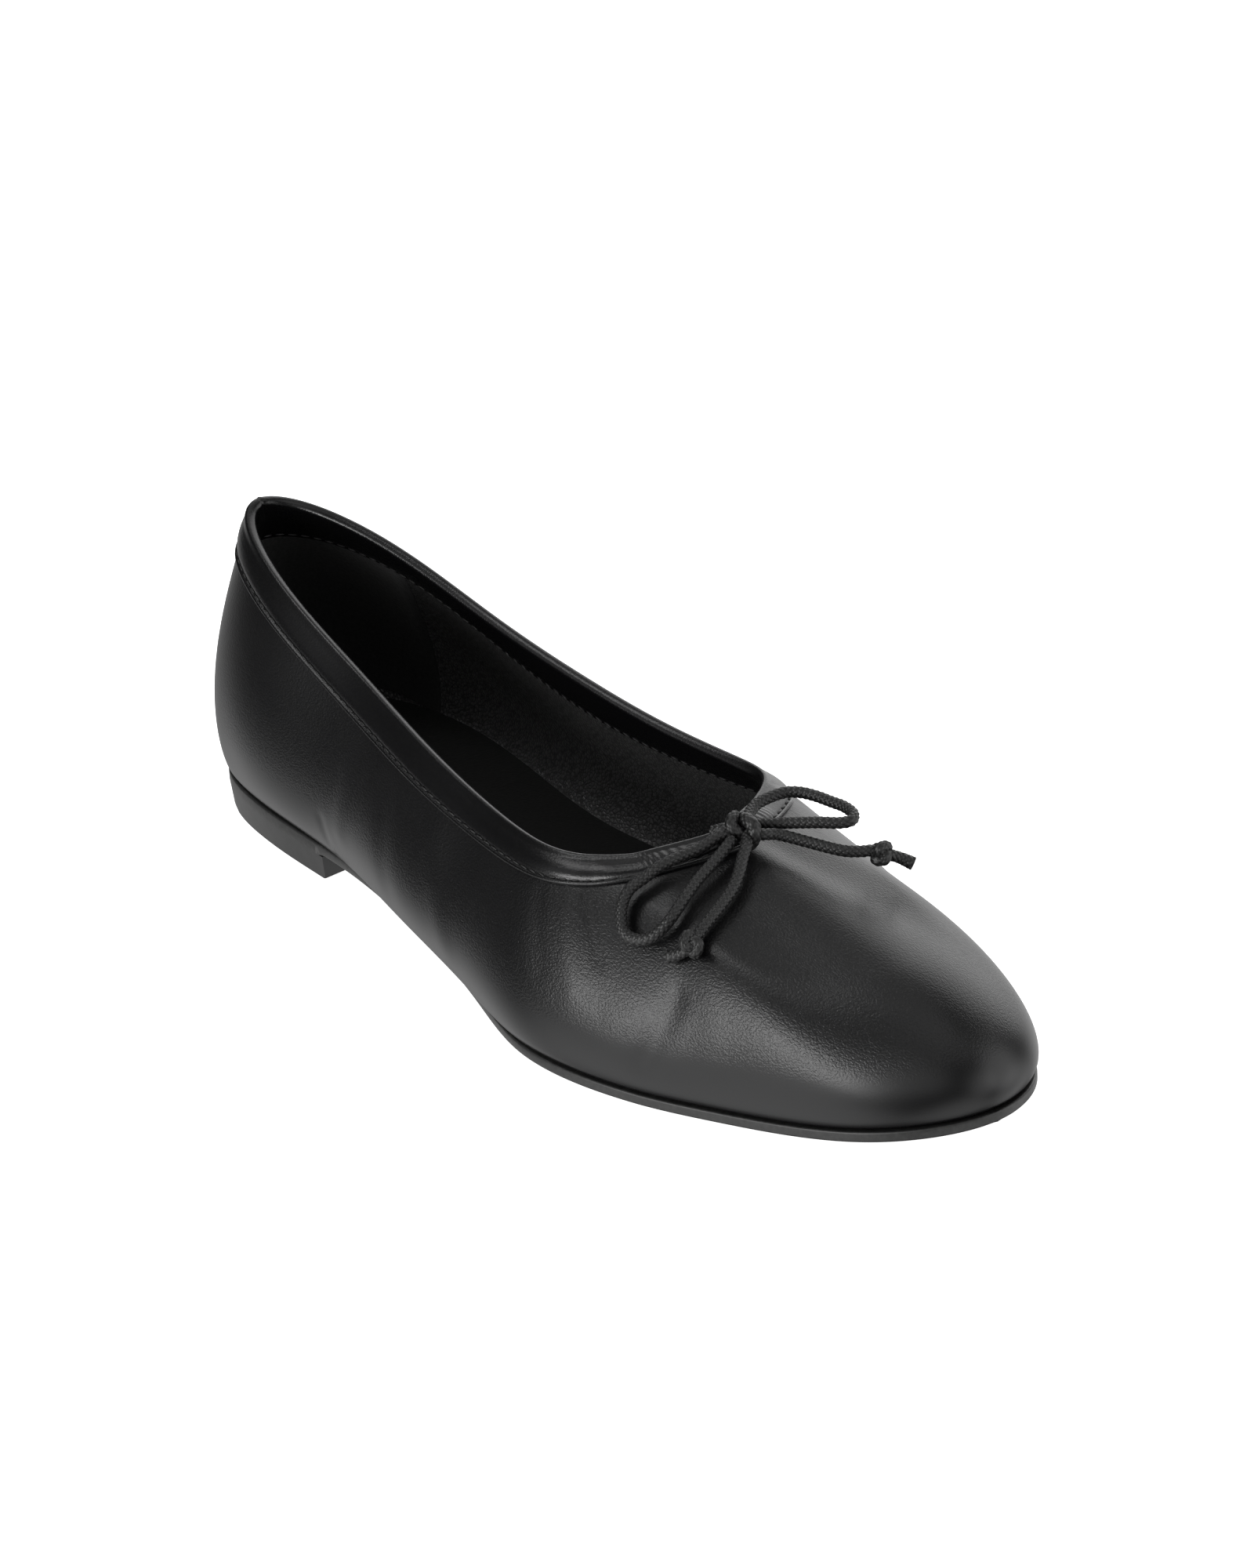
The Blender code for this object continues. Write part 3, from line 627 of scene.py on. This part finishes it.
ROUND_HALF = 300 * MM  # length of half the footprint's outline
TURN = np.arange(2 * HALF) / HALF - 1  # 0 at the toe's middle, -1 and 1 at the heel's
PLAIN_WALL = WALL_LENGTH - BAND - GAP


def skin_row(distance, offset=0.0):
    """Points of the skin at a distance up the wall in each section, moved out by the offset."""
    distance = np.broadcast_to(distance, len(SKIN))
    row = np.empty((len(SKIN), 3))
    out = np.empty((len(SKIN), 3))
    for i, walk in enumerate(WALL_WALK):
        for axis in range(3):
            row[i, axis] = np.interp(distance[i], walk, SKIN[i, :, axis])
            out[i, axis] = np.interp(distance[i], walk, SKIN_NORMALS[i, :, axis])
    out /= np.linalg.norm(out, axis=1)[:, None]
    return row + out * np.broadcast_to(offset, len(SKIN))[:, None]


def crease_depth(down):
    """How far the skin sinks at a distance below the topline in each section."""
    depth = np.zeros(len(TURN))
    for turn_a, down_a, turn_b, down_b, deep, width in zip(*CREASES.values()):
        start = np.array([turn_a * ROUND_HALF, down_a * MM])
        run = np.array([turn_b * ROUND_HALF, down_b * MM]) - start
        place = np.stack([TURN * ROUND_HALF, down], axis=1) - start
        share = np.clip(place @ run / (run @ run), 0, 1)
        gap = np.linalg.norm(place - share[:, None] * run, axis=1)
        depth += deep * MM * np.exp(-((gap / (width * MM)) ** 2))
    return depth


quarter = 1 - math.sqrt(0.5)
margin_end = FEATHER_LINE - OUTWARD * (FEATHER + MARGIN)
rows = [
    on_sole(margin_end, GAP),
    on_sole(FEATHER_LINE - OUTWARD * FEATHER, GAP),
    on_sole(FEATHER_LINE - OUTWARD * FEATHER * quarter, GAP + FEATHER * quarter),
]
top_of_nappa = WALL_LENGTH - BINDING - GAP
# The pull of lasting flattens the grain low on the wall, and the stiffener does so round the heel.
grain = [np.full(len(TURN), MARGIN_GRAIN)] * 3
round_heel = np.clip((np.abs(TURN) - STIFFENER_FROM) / STIFFENER_FADE, 0, 1)
for share in np.linspace(0, 1, UPPER_ROWS):
    height = PLAIN_WALL * share
    rows.append(skin_row(height, -crease_depth(WALL_LENGTH - height)))
    over_sole = rows[-1][:, 2] - sole_bottom(rows[-1][:, 0])
    free = np.clip((over_sole - SMOOTH_UP_TO) / GRAIN_FADE, 0, 1)
    grain.append(LOW_GRAIN + (1 - LOW_GRAIN) * free * (1 - STIFFENER_LOSS * round_heel))
rows += [
    skin_row(WALL_LENGTH - BAND / 2), skin_row(top_of_nappa), skin_row(top_of_nappa, -NAPPA_EDGE)
]
rows += [skin_row(PLAIN_WALL * share, -NAPPA) for share in INNER_SHARES]
inner_corner = FEATHER_LINE - OUTWARD * 2 * FEATHER
rows += [on_sole(inner_corner, GAP + NAPPA), on_sole(margin_end, GAP + NAPPA)]

# Drum-dyed nappa with a thin resin finish: a soft satin highlight, broken up by a fine even grain,
# and a deep black where no light falls.
nappa, tree, shader = new_material("black_nappa", Roughness=0.33, IOR=1.5)
coordinates = add_node(tree, "ShaderNodeTexCoord").outputs["Object"]
# Lasting draws the grain out into wavy ripples along the shoe, half as long again as wide.
stretched = add_node(
    tree, "ShaderNodeVectorMath", {0: coordinates, 1: (0.7, 1, 1)}, operation="MULTIPLY"
)
ripples = add_node(
    tree, "ShaderNodeTexNoise",
    {"Vector": stretched.outputs["Vector"], "Scale": 1 / GRAIN, "Detail": 1.0, "Distortion": 0.3},
)
domes = add_node(
    tree, "ShaderNodeMapRange",
    {"Value": ripples.outputs["Fac"], "From Min": 0.3, "From Max": 0.7},
    interpolation_type="SMOOTHSTEP",
)
patches = add_node(
    tree, "ShaderNodeTexNoise", {"Vector": coordinates, "Scale": 1 / SHEEN_PATCH, "Detail": 3}
)
ramp = add_node(
    tree, "ShaderNodeValToRGB", {"Fac": patches.outputs["Fac"]},
    stops=((0.3, "070708"), (0.7, "0B0B0C")),
)
tree.links.new(ramp.outputs["Color"], shader.inputs["Base Color"])
rough = add_node(
    tree, "ShaderNodeMapRange", {"Value": patches.outputs["Fac"], "To Min": 0.30, "To Max": 0.37}
)
tree.links.new(rough.outputs["Result"], shader.inputs["Roughness"])
marked = add_node(tree, "ShaderNodeAttribute", attribute_name="grain").outputs["Fac"]
relief = add_node(
    tree, "ShaderNodeMath", {0: domes.outputs["Result"], 1: marked}, operation="MULTIPLY"
)
bump = add_node(
    tree, "ShaderNodeBump",
    {"Height": relief.outputs["Value"], "Strength": 1.0, "Distance": GRAIN_HEIGHT},
)
tree.links.new(bump.outputs["Normal"], shader.inputs["Normal"])
grain += [np.ones(len(TURN))] * (len(rows) - len(grain))
shell = loft(rows, True, marks={"grain": np.array(grain)})
finish_piece("nappa_upper", shell, nappa, ["upper"])

# Lining
# Black pigskin, 0.7 mm thick, cut to the upper's pattern, cemented to its back and lasted with it.
# It ends under the binding and runs down to the insole.
WALL = 0.0016
COLLAR_WALL = 0.0011
LINING_ROWS = 40
BACK_SHARES = (0.05, 0.15, 0.3, 0.5, 0.7, 1)  # rows of its back, as shares of the wall
LINING_GRAIN = 0.0009  # width of one pebble of the grain
LINING_GRAIN_HEIGHT = 0.0001
GLUE = 0.0001

under = NAPPA + GLUE
rows = [on_sole(margin_end, GAP + under), on_sole(inner_corner, GAP + under)]
rows += [skin_row(PLAIN_WALL * share, -under) for share in BACK_SHARES]
rows += [skin_row(top_of_nappa, -NAPPA_EDGE - GLUE), skin_row(top_of_nappa, -COLLAR_WALL)]
rows += [skin_row(WALL_LENGTH - BAND / 2, -(COLLAR_WALL + WALL) / 2)]
rows += [skin_row(PLAIN_WALL * share, -WALL) for share in np.linspace(1, 0.05, LINING_ROWS)]
rows += [on_sole(FEATHER_LINE - OUTWARD * WALL, GAP + WALL), on_sole(margin_end, GAP + WALL)]

# Pigskin with an aniline finish: coarser pebbles than the nappa's, drawn a little wide so that they
# show, and a duller black that catches the light near the throat. Its colour is painted paler than
# its own black, as painted light inside the shoe, with painted highlights on the pebbles' tops and
# painted shade in the crevices between them.
pigskin, tree, shader = new_material("black_lining_leather", Roughness=0.36, IOR=1.5)
coordinates = add_node(tree, "ShaderNodeTexCoord").outputs["Object"]
pebbles = add_node(
    tree, "ShaderNodeTexVoronoi",
    {"Vector": coordinates, "Scale": 1 / LINING_GRAIN, "Randomness": 1.0},
    feature="DISTANCE_TO_EDGE",
)
domes = add_node(
    tree, "ShaderNodeMapRange",
    {"Value": pebbles.outputs["Distance"], "From Min": 0.0, "From Max": 0.3},
    interpolation_type="SMOOTHSTEP",
)
# Painted highlights on the pebbles' tops and painted shade in their crevices, all painted pale.
ramp = add_node(
    tree, "ShaderNodeValToRGB", {"Fac": domes.outputs["Result"]},
    stops=((0.0, "303030"), (1.0, "4E4E4E")),
)
tree.links.new(ramp.outputs["Color"], shader.inputs["Base Color"])
bump = add_node(
    tree, "ShaderNodeBump",
    {"Height": domes.outputs["Result"], "Strength": 1.0, "Distance": LINING_GRAIN_HEIGHT},
)
tree.links.new(bump.outputs["Normal"], shader.inputs["Normal"])
finish_piece("leather_lining", loft(rows, True), pigskin)

# Topline binding
# A strip of the same nappa, folded over the collar's edge as a channel for the drawcord, which pads
# it. A row of stitches holds its lower edge, in a shallow groove, and its ends meet at the heel.
BINDING_GRAIN = 0.00065
BINDING_GRAIN_HEIGHT = 0.000012
GATHERS_AT = 0.13  # turn on both sides of the bow round which the drawcord gathers it
GATHERS_SPREAD = 0.06
GATHERS_HEIGHT = 0.10  # millimetres
GATHERS_RATE = 1.1  # radians of a fold for each millimetre round the collar
PUCKER_HEIGHT = 0.5  # millimetres, where the two ends meet
PUCKER_WIDTH = 1.5
PUCKER_DOWN = 3.5
# The strip's section: down from the edge and out over the skin, in millimetres, for a full band.
BINDING_SECTION = columns(
    ("down", "over"),
    (0.00, -0.45),
    (0.10, 0.20),
    (0.40, 0.62),
    (0.90, 0.82),
    (1.50, 0.78),
    (2.10, 0.72),
    (3.00, 0.86),
    (4.20, 1.00),
    (5.40, 1.02),
    (6.50, 0.92),
    (7.20, 0.72),
    (7.60, 0.50),
    (7.85, 0.36),
    (8.10, 0.48),
    (8.45, 0.78),
    (8.80, 0.80),
    (9.05, 0.58),
    (9.20, 0.20),
    (9.20, 0.05),
)
INSIDE_SECTION = columns(
    ("down", "over"),
    (10.8, -1.70),
    (10.8, -2.05),
    (10.5, -2.20),
    (9.9, -2.10),
    (9.2, -2.28),
    (7.0, -2.35),
    (5.0, -2.30),
    (3.0, -2.10),
    (1.6, -1.95),
    (0.8, -1.85),
    (0.3, -1.55),
    (0.06, -1.05),
)
# The back of the strip, from the outer leaf over the edge to the inner leaf.
BACK_SECTION = columns(("down", "over"), (8.0, 0.03), (1.2, 0.03), (0.7, -0.5), (1.2, -1.15))
band_share = BAND / BINDING_DEPTH


def densify(table, count):
    """The section's points at even steps along a smooth line through them."""
    points = np.stack([table["down"], table["over"]], axis=1)
    walk = np.concatenate([[0], np.cumsum(np.linalg.norm(np.diff(points, axis=0), axis=1))])
    at = np.linspace(0, walk[-1], count)
    return np.stack([np.interp(at, walk, points[:, i]) for i in range(2)], axis=1)


def below_edge(down, over):
    """A row of the wall at these millimetres below the edge, for a full band, and over the skin.

    The drawcord gathers the band a little on both sides of the bow, and it puckers at the heel."""
    round_to_heel = (1 - np.abs(TURN)) * ROUND_HALF / MM
    near_bow = np.exp(-(((np.abs(TURN) - GATHERS_AT) / GATHERS_SPREAD) ** 2))
    gathers = near_bow * np.cos(TURN * ROUND_HALF / MM * GATHERS_RATE)
    lift = GATHERS_HEIGHT * gathers * math.sin(math.pi * min(down / 8.0, 1)) * (over > 0)
    pucker = PUCKER_HEIGHT * np.exp(-((round_to_heel / PUCKER_WIDTH) ** 2)) * (over < 0.3)
    fade = math.exp(-((down / PUCKER_DOWN) ** 2))
    return skin_row(WALL_LENGTH - down * MM * band_share, (over + lift + pucker * fade) * MM)


rows = [below_edge(down, over) for down, over in densify(BINDING_SECTION, 40)]
rows += [below_edge(down, over) for down, over in zip(*BACK_SECTION.values())]
rows += [below_edge(down, over) for down, over in densify(INSIDE_SECTION, 26)]
# The same nappa, drawn tight over the cord: smoother and glossier, its grain pulled nearly flat.
binding_nappa, tree, shader = new_material("binding_nappa", Roughness=0.27, IOR=1.5)
coordinates = add_node(tree, "ShaderNodeTexCoord").outputs["Object"]
pebbles = add_node(
    tree, "ShaderNodeTexVoronoi",
    {"Vector": coordinates, "Scale": 1 / BINDING_GRAIN, "Randomness": 1.0},
    feature="DISTANCE_TO_EDGE",
)
domes = add_node(
    tree, "ShaderNodeMapRange",
    {"Value": pebbles.outputs["Distance"], "From Min": 0.0, "From Max": 0.28},
    interpolation_type="SMOOTHSTEP",
)
# Painted shade: a shade darker in the crevices between the pebbles.
ramp = add_node(
    tree, "ShaderNodeValToRGB", {"Fac": domes.outputs["Result"]},
    stops=((0.0, "060607"), (1.0, "0A0A0B")),
)
tree.links.new(ramp.outputs["Color"], shader.inputs["Base Color"])
bump = add_node(
    tree, "ShaderNodeBump",
    {"Height": domes.outputs["Result"], "Strength": 1.0, "Distance": BINDING_GRAIN_HEIGHT},
)
tree.links.new(bump.outputs["Normal"], shader.inputs["Normal"])
strip = loft(rows, True)
finish_piece("padded_binding", strip, binding_nappa, ["topline_binding"])

# Stitches
# Lockstitches in black polyester thread through strip and wall, sewn by machine 2.9 mm apart. They
# lie in the strip's groove outside, and along the lower edge of its other leaf inside.
STITCH_DOWN = 7.85  # millimetres below the topline, outside and inside
INSIDE_STITCH_DOWN = 10.0
STITCH_PITCH = 0.0029
STITCH_LENGTH = 0.0021
THREAD = 0.00042
THREAD_TWIST = 0.0002  # width of one ply
SIGHT_AHEAD = 0.0004  # step along the line that gives a stitch its direction

# Bonded polyester, twisted from three plies: a dull gleam, with darker lines between the plies.
thread_black, tree, shader = new_material("polyester_thread", Roughness=0.45, IOR=1.5)
coordinates = add_node(tree, "ShaderNodeTexCoord").outputs["Object"]
twist = add_node(
    tree, "ShaderNodeTexNoise", {"Vector": coordinates, "Scale": 1 / THREAD_TWIST, "Detail": 2}
)
ramp = add_node(
    tree, "ShaderNodeValToRGB", {"Fac": twist.outputs["Fac"]},
    stops=((0.3, "161616"), (0.7, "303030")),
)
tree.links.new(ramp.outputs["Color"], shader.inputs["Base Color"])


def stitch_line(name, line, thick=THREAD):
    """One short bar of thread after another along a closed line, as one piece."""
    line = np.vstack([line, line[:1]]) - np.array([SHIFT, 0, 0])
    walk = np.concatenate([[0], np.cumsum(np.linalg.norm(np.diff(line, axis=0), axis=1))])
    count = round(walk[-1] / STITCH_PITCH)
    bm = bmesh.new()
    for at in (np.arange(count) + 0.5) * walk[-1] / count:
        centre, ahead = (
            Vector([np.interp(place, walk, line[:, axis]) for axis in range(3)])
            for place in (at, at + SIGHT_AHEAD)
        )
        turned = (ahead - centre).to_track_quat("X", "Z").to_matrix().to_4x4()
        size = Matrix.Diagonal((STITCH_LENGTH / 2, thick / 2, thick / 2, 1))
        placed = Matrix.Translation(centre) @ turned @ size
        bmesh.ops.create_uvsphere(bm, u_segments=8, v_segments=6, radius=1, matrix=placed)
    return finish_piece(name, bm, thread_black)


stitch_line("outside_stitches", below_edge(STITCH_DOWN, 0.50))
stitch_line("inside_stitches", below_edge(INSIDE_STITCH_DOWN, -2.18), THREAD * 0.75)

# Heel lining
# A half round of black suede over the stiffener at the heel, its nap turned in so that the foot
# doesn't slip. It is cemented on, and its front edges are skived thin.
HEEL_LINING = 0.0004
HEEL_LINING_EDGE = 0.846  # turn at which it ends on both sides
HEEL_LINING_BULGE = 0.012  # by how much its front edges curve, as turn
HEEL_LINING_TOP = 10.9  # millimetres below the topline
HEEL_LINING_END = 53.0
COUNTER_NAP = 0.00065  # width of one tuft of the nap

share_round = np.linspace(0, 1, 61)
front, back = [], []
for down in np.linspace(HEEL_LINING_TOP, HEEL_LINING_END, 24):
    edge = HEEL_LINING_EDGE + HEEL_LINING_BULGE * math.sin(math.pi * (down - 5) / 50)
    wanted = 1 - (share_round - 0.5) * 2 * (1 - edge)
    at = (wanted + 1) * HALF
    low = np.floor(at).astype(int)
    part = (at - low)[:, None]
    for faces, depth in ((front, WALL + GAP * 0.2 + HEEL_LINING), (back, WALL + GAP * 0.2)):
        row = skin_row(WALL_LENGTH - down * MM, -depth)
        around = row[low % len(row)] * (1 - part) + row[(low + 1) % len(row)] * part
        faces.append(around)
front, back = np.array(front), np.array(back)
for edge in (0, -1):
    front[:, edge] = back[:, edge]
# Suede again, with a longer nap: greyer where the light grazes it, and darker than the lining.
suede_counter, tree, shader = new_material(
    "suede_counter", Roughness=0.8, IOR=1.45, Sheen_Weight=0.25, Sheen_Roughness=0.4
)
coordinates = add_node(tree, "ShaderNodeTexCoord").outputs["Object"]
nap = add_node(
    tree, "ShaderNodeTexNoise", {"Vector": coordinates, "Scale": 1 / COUNTER_NAP, "Detail": 3}
)
ramp = add_node(
    tree, "ShaderNodeValToRGB", {"Fac": nap.outputs["Fac"]},
    stops=((0.3, "151515"), (0.7, "212121")),
)
tree.links.new(ramp.outputs["Color"], shader.inputs["Base Color"])
bump = add_node(
    tree, "ShaderNodeBump", {"Height": nap.outputs["Fac"], "Strength": 0.5, "Distance": 0.00015}
)
tree.links.new(bump.outputs["Normal"], shader.inputs["Normal"])
half_round = loft(np.concatenate([front, back[::-1]]), True, ring=False)
finish_piece("suede_heel_lining", half_round, suede_counter)

# Bow
# A braided cotton cord, 2.5 mm thick and lightly waxed, that leaves the channel at the throat and
# is tied in a bow. Twelve strands cross in small diamonds. Both ends are knotted and cut.
CORD = 0.0025
LINT = 0.0004  # width of one tuft of lint in the wax
STRANDS = 6  # strands that run each way round the cord
BRAID_PITCH = 0.0078  # length in which a strand goes once round
AROUND = 60  # vertices round the cord
RELIEF = 0.0002  # height of a strand over the crevices
BRAID_STEP = 0.00014  # spacing of the rings along the cord
FLARE_LENGTH = 0.0035  # length over which a cut end spreads
KNOT_AT = Vector((0.1448, -0.0008, 0.0477))
OUTER_LOOP = (
    (0.1435, -0.0032, 0.0474),
    (0.1425, -0.0057, 0.0472), (0.1416, -0.0102, 0.0458), (0.1402, -0.0153, 0.0449),
    (0.1393, -0.0195, 0.0440), (0.1386, -0.0227, 0.0425), (0.1379, -0.0262, 0.0409),
    (0.1385, -0.0288, 0.0389), (0.1401, -0.0307, 0.0366), (0.1421, -0.0318, 0.0348),
    (0.1448, -0.0317, 0.0341), (0.1477, -0.0305, 0.0345), (0.1496, -0.0285, 0.0361),
    (0.1504, -0.0255, 0.0387), (0.1495, -0.0213, 0.0410), (0.1478, -0.0160, 0.0429),
    (0.1468, -0.0109, 0.0446), (0.1461, -0.0071, 0.0461), (0.1452, -0.0042, 0.0470),
)
INNER_LOOP = (
    (0.1430, 0.0010, 0.0476),
    (0.1412, 0.0031, 0.0475), (0.1379, 0.0080, 0.0475), (0.1377, 0.0125, 0.0478),
    (0.1386, 0.0161, 0.0479), (0.1409, 0.0183, 0.0479), (0.1443, 0.0195, 0.0479),
    (0.1484, 0.0203, 0.0478), (0.1522, 0.0207, 0.0479), (0.1556, 0.0201, 0.0478),
    (0.1576, 0.0180, 0.0478), (0.1566, 0.0156, 0.0477), (0.1539, 0.0129, 0.0478),
    (0.1509, 0.0103, 0.0476), (0.1480, 0.0077, 0.0474), (0.1460, 0.0056, 0.0472),
    (0.1444, 0.0041, 0.0472), (0.1438, 0.0022, 0.0472),
)
OUTER_TAIL = (
    (0.1462, -0.0012, 0.0472), (0.1485, -0.0031, 0.0467), (0.1503, -0.0057, 0.0455),
    (0.1525, -0.0087, 0.0437), (0.1544, -0.0123, 0.0418), (0.1559, -0.0172, 0.0400),
    (0.1571, -0.0219, 0.0384), (0.1576, -0.0239, 0.0375), (0.1580, -0.0254, 0.0370),
    (0.1582, -0.0259, 0.0367), (0.1584, -0.0270, 0.0360), (0.1579, -0.0277, 0.0352),
    (0.1575, -0.0279, 0.0347), (0.1557, -0.0288, 0.0334), (0.1540, -0.0297, 0.0326),
)
INNER_TAIL = (
    (0.1468, 0.0004, 0.0473), (0.1483, 0.0017, 0.0471), (0.1490, 0.0046, 0.0463),
    (0.1514, 0.0070, 0.0454), (0.1550, 0.0094, 0.0446), (0.1583, 0.0114, 0.0440),
    (0.1609, 0.0134, 0.0435), (0.1627, 0.0161, 0.0431), (0.1634, 0.0178, 0.0429),
    (0.1641, 0.0187, 0.0425), (0.1643, 0.0190, 0.0424), (0.1648, 0.0198, 0.0421),
    (0.1652, 0.0205, 0.0418), (0.1656, 0.0215, 0.0413), (0.1666, 0.0234, 0.0402),
    (0.1685, 0.0252, 0.0389),
)


def smooth_line(points, step):
    """Points at even steps along a smooth curve through a strand's own points."""
    points = np.array(points, float)
    ends = np.vstack([2 * points[0] - points[1], points, 2 * points[-1] - points[-2]])
    fine = []
    for before, start, end, after in zip(ends, ends[1:], ends[2:], ends[3:]):
        for u in np.linspace(0, 1, 24, endpoint=False):
            lean = (end - before) * u + (2 * before - 5 * start + 4 * end - after) * u**2
            fine.append(start + (lean + (3 * start - before - 3 * end + after) * u**3) / 2)
    fine = np.array(fine + [points[-1]])
    walk = np.concatenate([[0], np.cumsum(np.linalg.norm(np.diff(fine, axis=0), axis=1))])
    at = np.linspace(0, walk[-1], max(8, round(walk[-1] / step)) + 1)
    return np.stack([np.interp(at, walk, fine[:, axis]) for axis in range(3)], axis=1), walk[-1]


def braid_height(angle, along):
    """Height of the braid's surface at a place on the cord: 0 in a crevice, 1 on a strand."""
    around = angle / (2 * math.pi) * STRANDS
    climb = along / BRAID_PITCH * STRANDS
    left = 1 - (2 * ((around + climb) % 1) - 1) ** 2
    right = 1 - (2 * ((around - climb) % 1) - 1) ** 2
    left_on_top = (np.floor(around + climb) + np.floor(around - climb)) % 2 == 0
    return np.where(left_on_top, left * right**0.35, right * left**0.35)


def braided(bm, points, thick=1.0, flat=1.0, flare=1.0):
    """Adds a braided cord along the points to a bmesh: a grid bent round them, its ends filled."""
    line, length = smooth_line(points, BRAID_STEP)
    count = len(line)
    heading = np.gradient(line, axis=0)
    heading /= np.linalg.norm(heading, axis=1)[:, None]
    side = np.empty_like(line)
    first = np.cross(heading[0], (0, 0, 1))
    side[0] = first / np.linalg.norm(first)
    for i in range(1, count):
        turned = side[i - 1] - heading[i] * (side[i - 1] @ heading[i])
        side[i] = turned / np.linalg.norm(turned)
    up = np.cross(heading, side)
    angle = np.linspace(0, 2 * math.pi, AROUND + 1)
    walk = np.linspace(0, length, count)
    weave = braid_height(angle[None, :], walk[:, None])
    spread = 1 + (flare - 1) * np.clip(1 - (length - walk) / FLARE_LENGTH, 0, 1)
    radius = (CORD / 2 - RELIEF * 0.75) * thick * spread[:, None] + RELIEF * weave
    across = np.cos(angle)[None, :, None] * side[:, None]
    across = across + np.sin(angle)[None, :, None] * up[:, None] * flat
    surface = line[:, None] + across * radius[..., None]
    crown = bm.verts.layers.float.get("braid") or bm.verts.layers.float.new("braid")
    before = set(bm.verts)
    bmesh.ops.create_grid(bm, x_segments=AROUND, y_segments=count - 1, size=1)
    fresh = [vert for vert in bm.verts if vert not in before]
    for vert, point, tall in zip(fresh, surface.reshape(-1, 3), weave.ravel()):
        vert.co = point
        vert[crown] = tall
    bmesh.ops.remove_doubles(bm, verts=fresh, dist=1e-6)
    rims = [edge for edge in bm.edges if edge.is_boundary]
    bmesh.ops.holes_fill(bm, edges=rims, sides=0)
    return length, line


# Waxed cotton braid: dull grey strands with a soft gloss from the wax, and painted shade that
# darkens the crevices between them.
waxed_cord, tree, shader = new_material("waxed_cotton_braid", Roughness=0.42, IOR=1.5)
crown = add_node(tree, "ShaderNodeAttribute", attribute_name="braid").outputs["Fac"]
coordinates = add_node(tree, "ShaderNodeTexCoord").outputs["Object"]
lint = add_node(tree, "ShaderNodeTexNoise", {"Vector": coordinates, "Scale": 1 / LINT, "Detail": 3})
# Painted shade: darkest in the crevices, paler on the strands' crowns.
ramp = add_node(
    tree, "ShaderNodeValToRGB", {"Fac": crown}, stops=((0.1, "030303"), (0.7, "232323"))
)
tree.links.new(ramp.outputs["Color"], shader.inputs["Base Color"])
bump = add_node(
    tree, "ShaderNodeBump", {"Height": lint.outputs["Fac"], "Strength": 0.4, "Distance": 0.0001}
)
tree.links.new(bump.outputs["Normal"], shader.inputs["Normal"])


def place_cord(name, points, nodes, flare=1.0):
    """A strand of the bow as its own piece."""
    bm = bmesh.new()
    length, line = braided(bm, points, flare=flare)
    strand = finish_piece(name, bm, waxed_cord, nodes)
    return strand


def knot_piece(name, strands, nodes):
    """A knot as one piece, from the strands that show in it."""
    bm = bmesh.new()
    for points, thick, flat in strands:
        braided(bm, points, thick, flat)
    return finish_piece(name, bm, waxed_cord, nodes)


def in_view(centre, *offsets):
    """Points round a centre, given in millimetres to the picture's right, up and to the eye."""
    return [
        tuple(Vector(centre) + (picture_right * a + picture_up * b + toward * c) * MM)
        for a, b, c in offsets
    ]


place_cord("outer_loop", OUTER_LOOP, ["bow_loop_outer"])
place_cord("inner_loop", INNER_LOOP, ["bow_loop_inner"])
bow_knot = knot_piece(
    "bow_knot_wraps",
    (
        (
            in_view(
                KNOT_AT, (-0.5, 2.1, -1.8), (0.2, 2.3, -0.4), (1.2, 1.8, 1.1), (2.1, 0.6, 1.8),
                (2.3, -0.8, 1.6), (1.9, -2.1, 0.5), (1.3, -2.9, -1.0),
            ),
            1.25,
            1.0,
        ),
        (
            in_view(
                KNOT_AT, (-1.4, 3.0, -1.2), (-2.3, 2.4, 0.2), (-2.6, 1.4, 1.0), (-2.2, 0.4, 1.2),
                (-1.2, -0.4, 0.9), (-0.2, -1.0, 0.0), (0.4, -1.4, -1.0),
            ),
            1.1,
            1.0,
        ),
        (
            in_view(
                KNOT_AT, (-6.4, -0.3, -2.4), (-5.3, 0.0, -1.5), (-4.2, 0.3, -0.9),
                (-3.0, 0.5, -0.6), (-1.8, 0.7, -0.6),
            ),
            1.0,
            1.0,
        ),
    ),
    ["bow_knot"],
)


def overhand(centre, heading, size):
    """The centre line of a small overhand knot, tied round a strand that runs along the heading."""
    heading = Vector(heading).normalized()
    side = heading.cross(toward).normalized()
    up = side.cross(heading)
    points = []
    for t in np.linspace(0, 2 * math.pi, 40):
        a = math.sin(t) + 2 * math.sin(2 * t)
        b = math.cos(t) - 2 * math.cos(2 * t)
        c = -math.sin(3 * t)
        offset = (side * a + up * b) * size * 0.5 + heading * c * size * 0.75
        points.append(tuple(Vector(centre) + offset))
    return points


outer_stopper = knot_piece(
    "outer_end_knot",
    ((overhand((0.1582, -0.0267, 0.0362), (-0.2, -0.8, -0.6), 0.0013), 1.0, 1.0),),
    ["end_knot_outer"],
)
inner_stopper = knot_piece(
    "inner_end_knot",
    ((overhand((0.1648, 0.0197, 0.0421), (0.5, 0.8, -0.35), 0.0012), 0.95, 1.0),),
    ["end_knot_inner"],
)
place_cord(
    "outer_tail", OUTER_TAIL, ["bow_tail_outer"],
    flare=1.15,
)
place_cord(
    "inner_tail", INNER_TAIL, ["bow_tail_inner"], flare=1.2
)
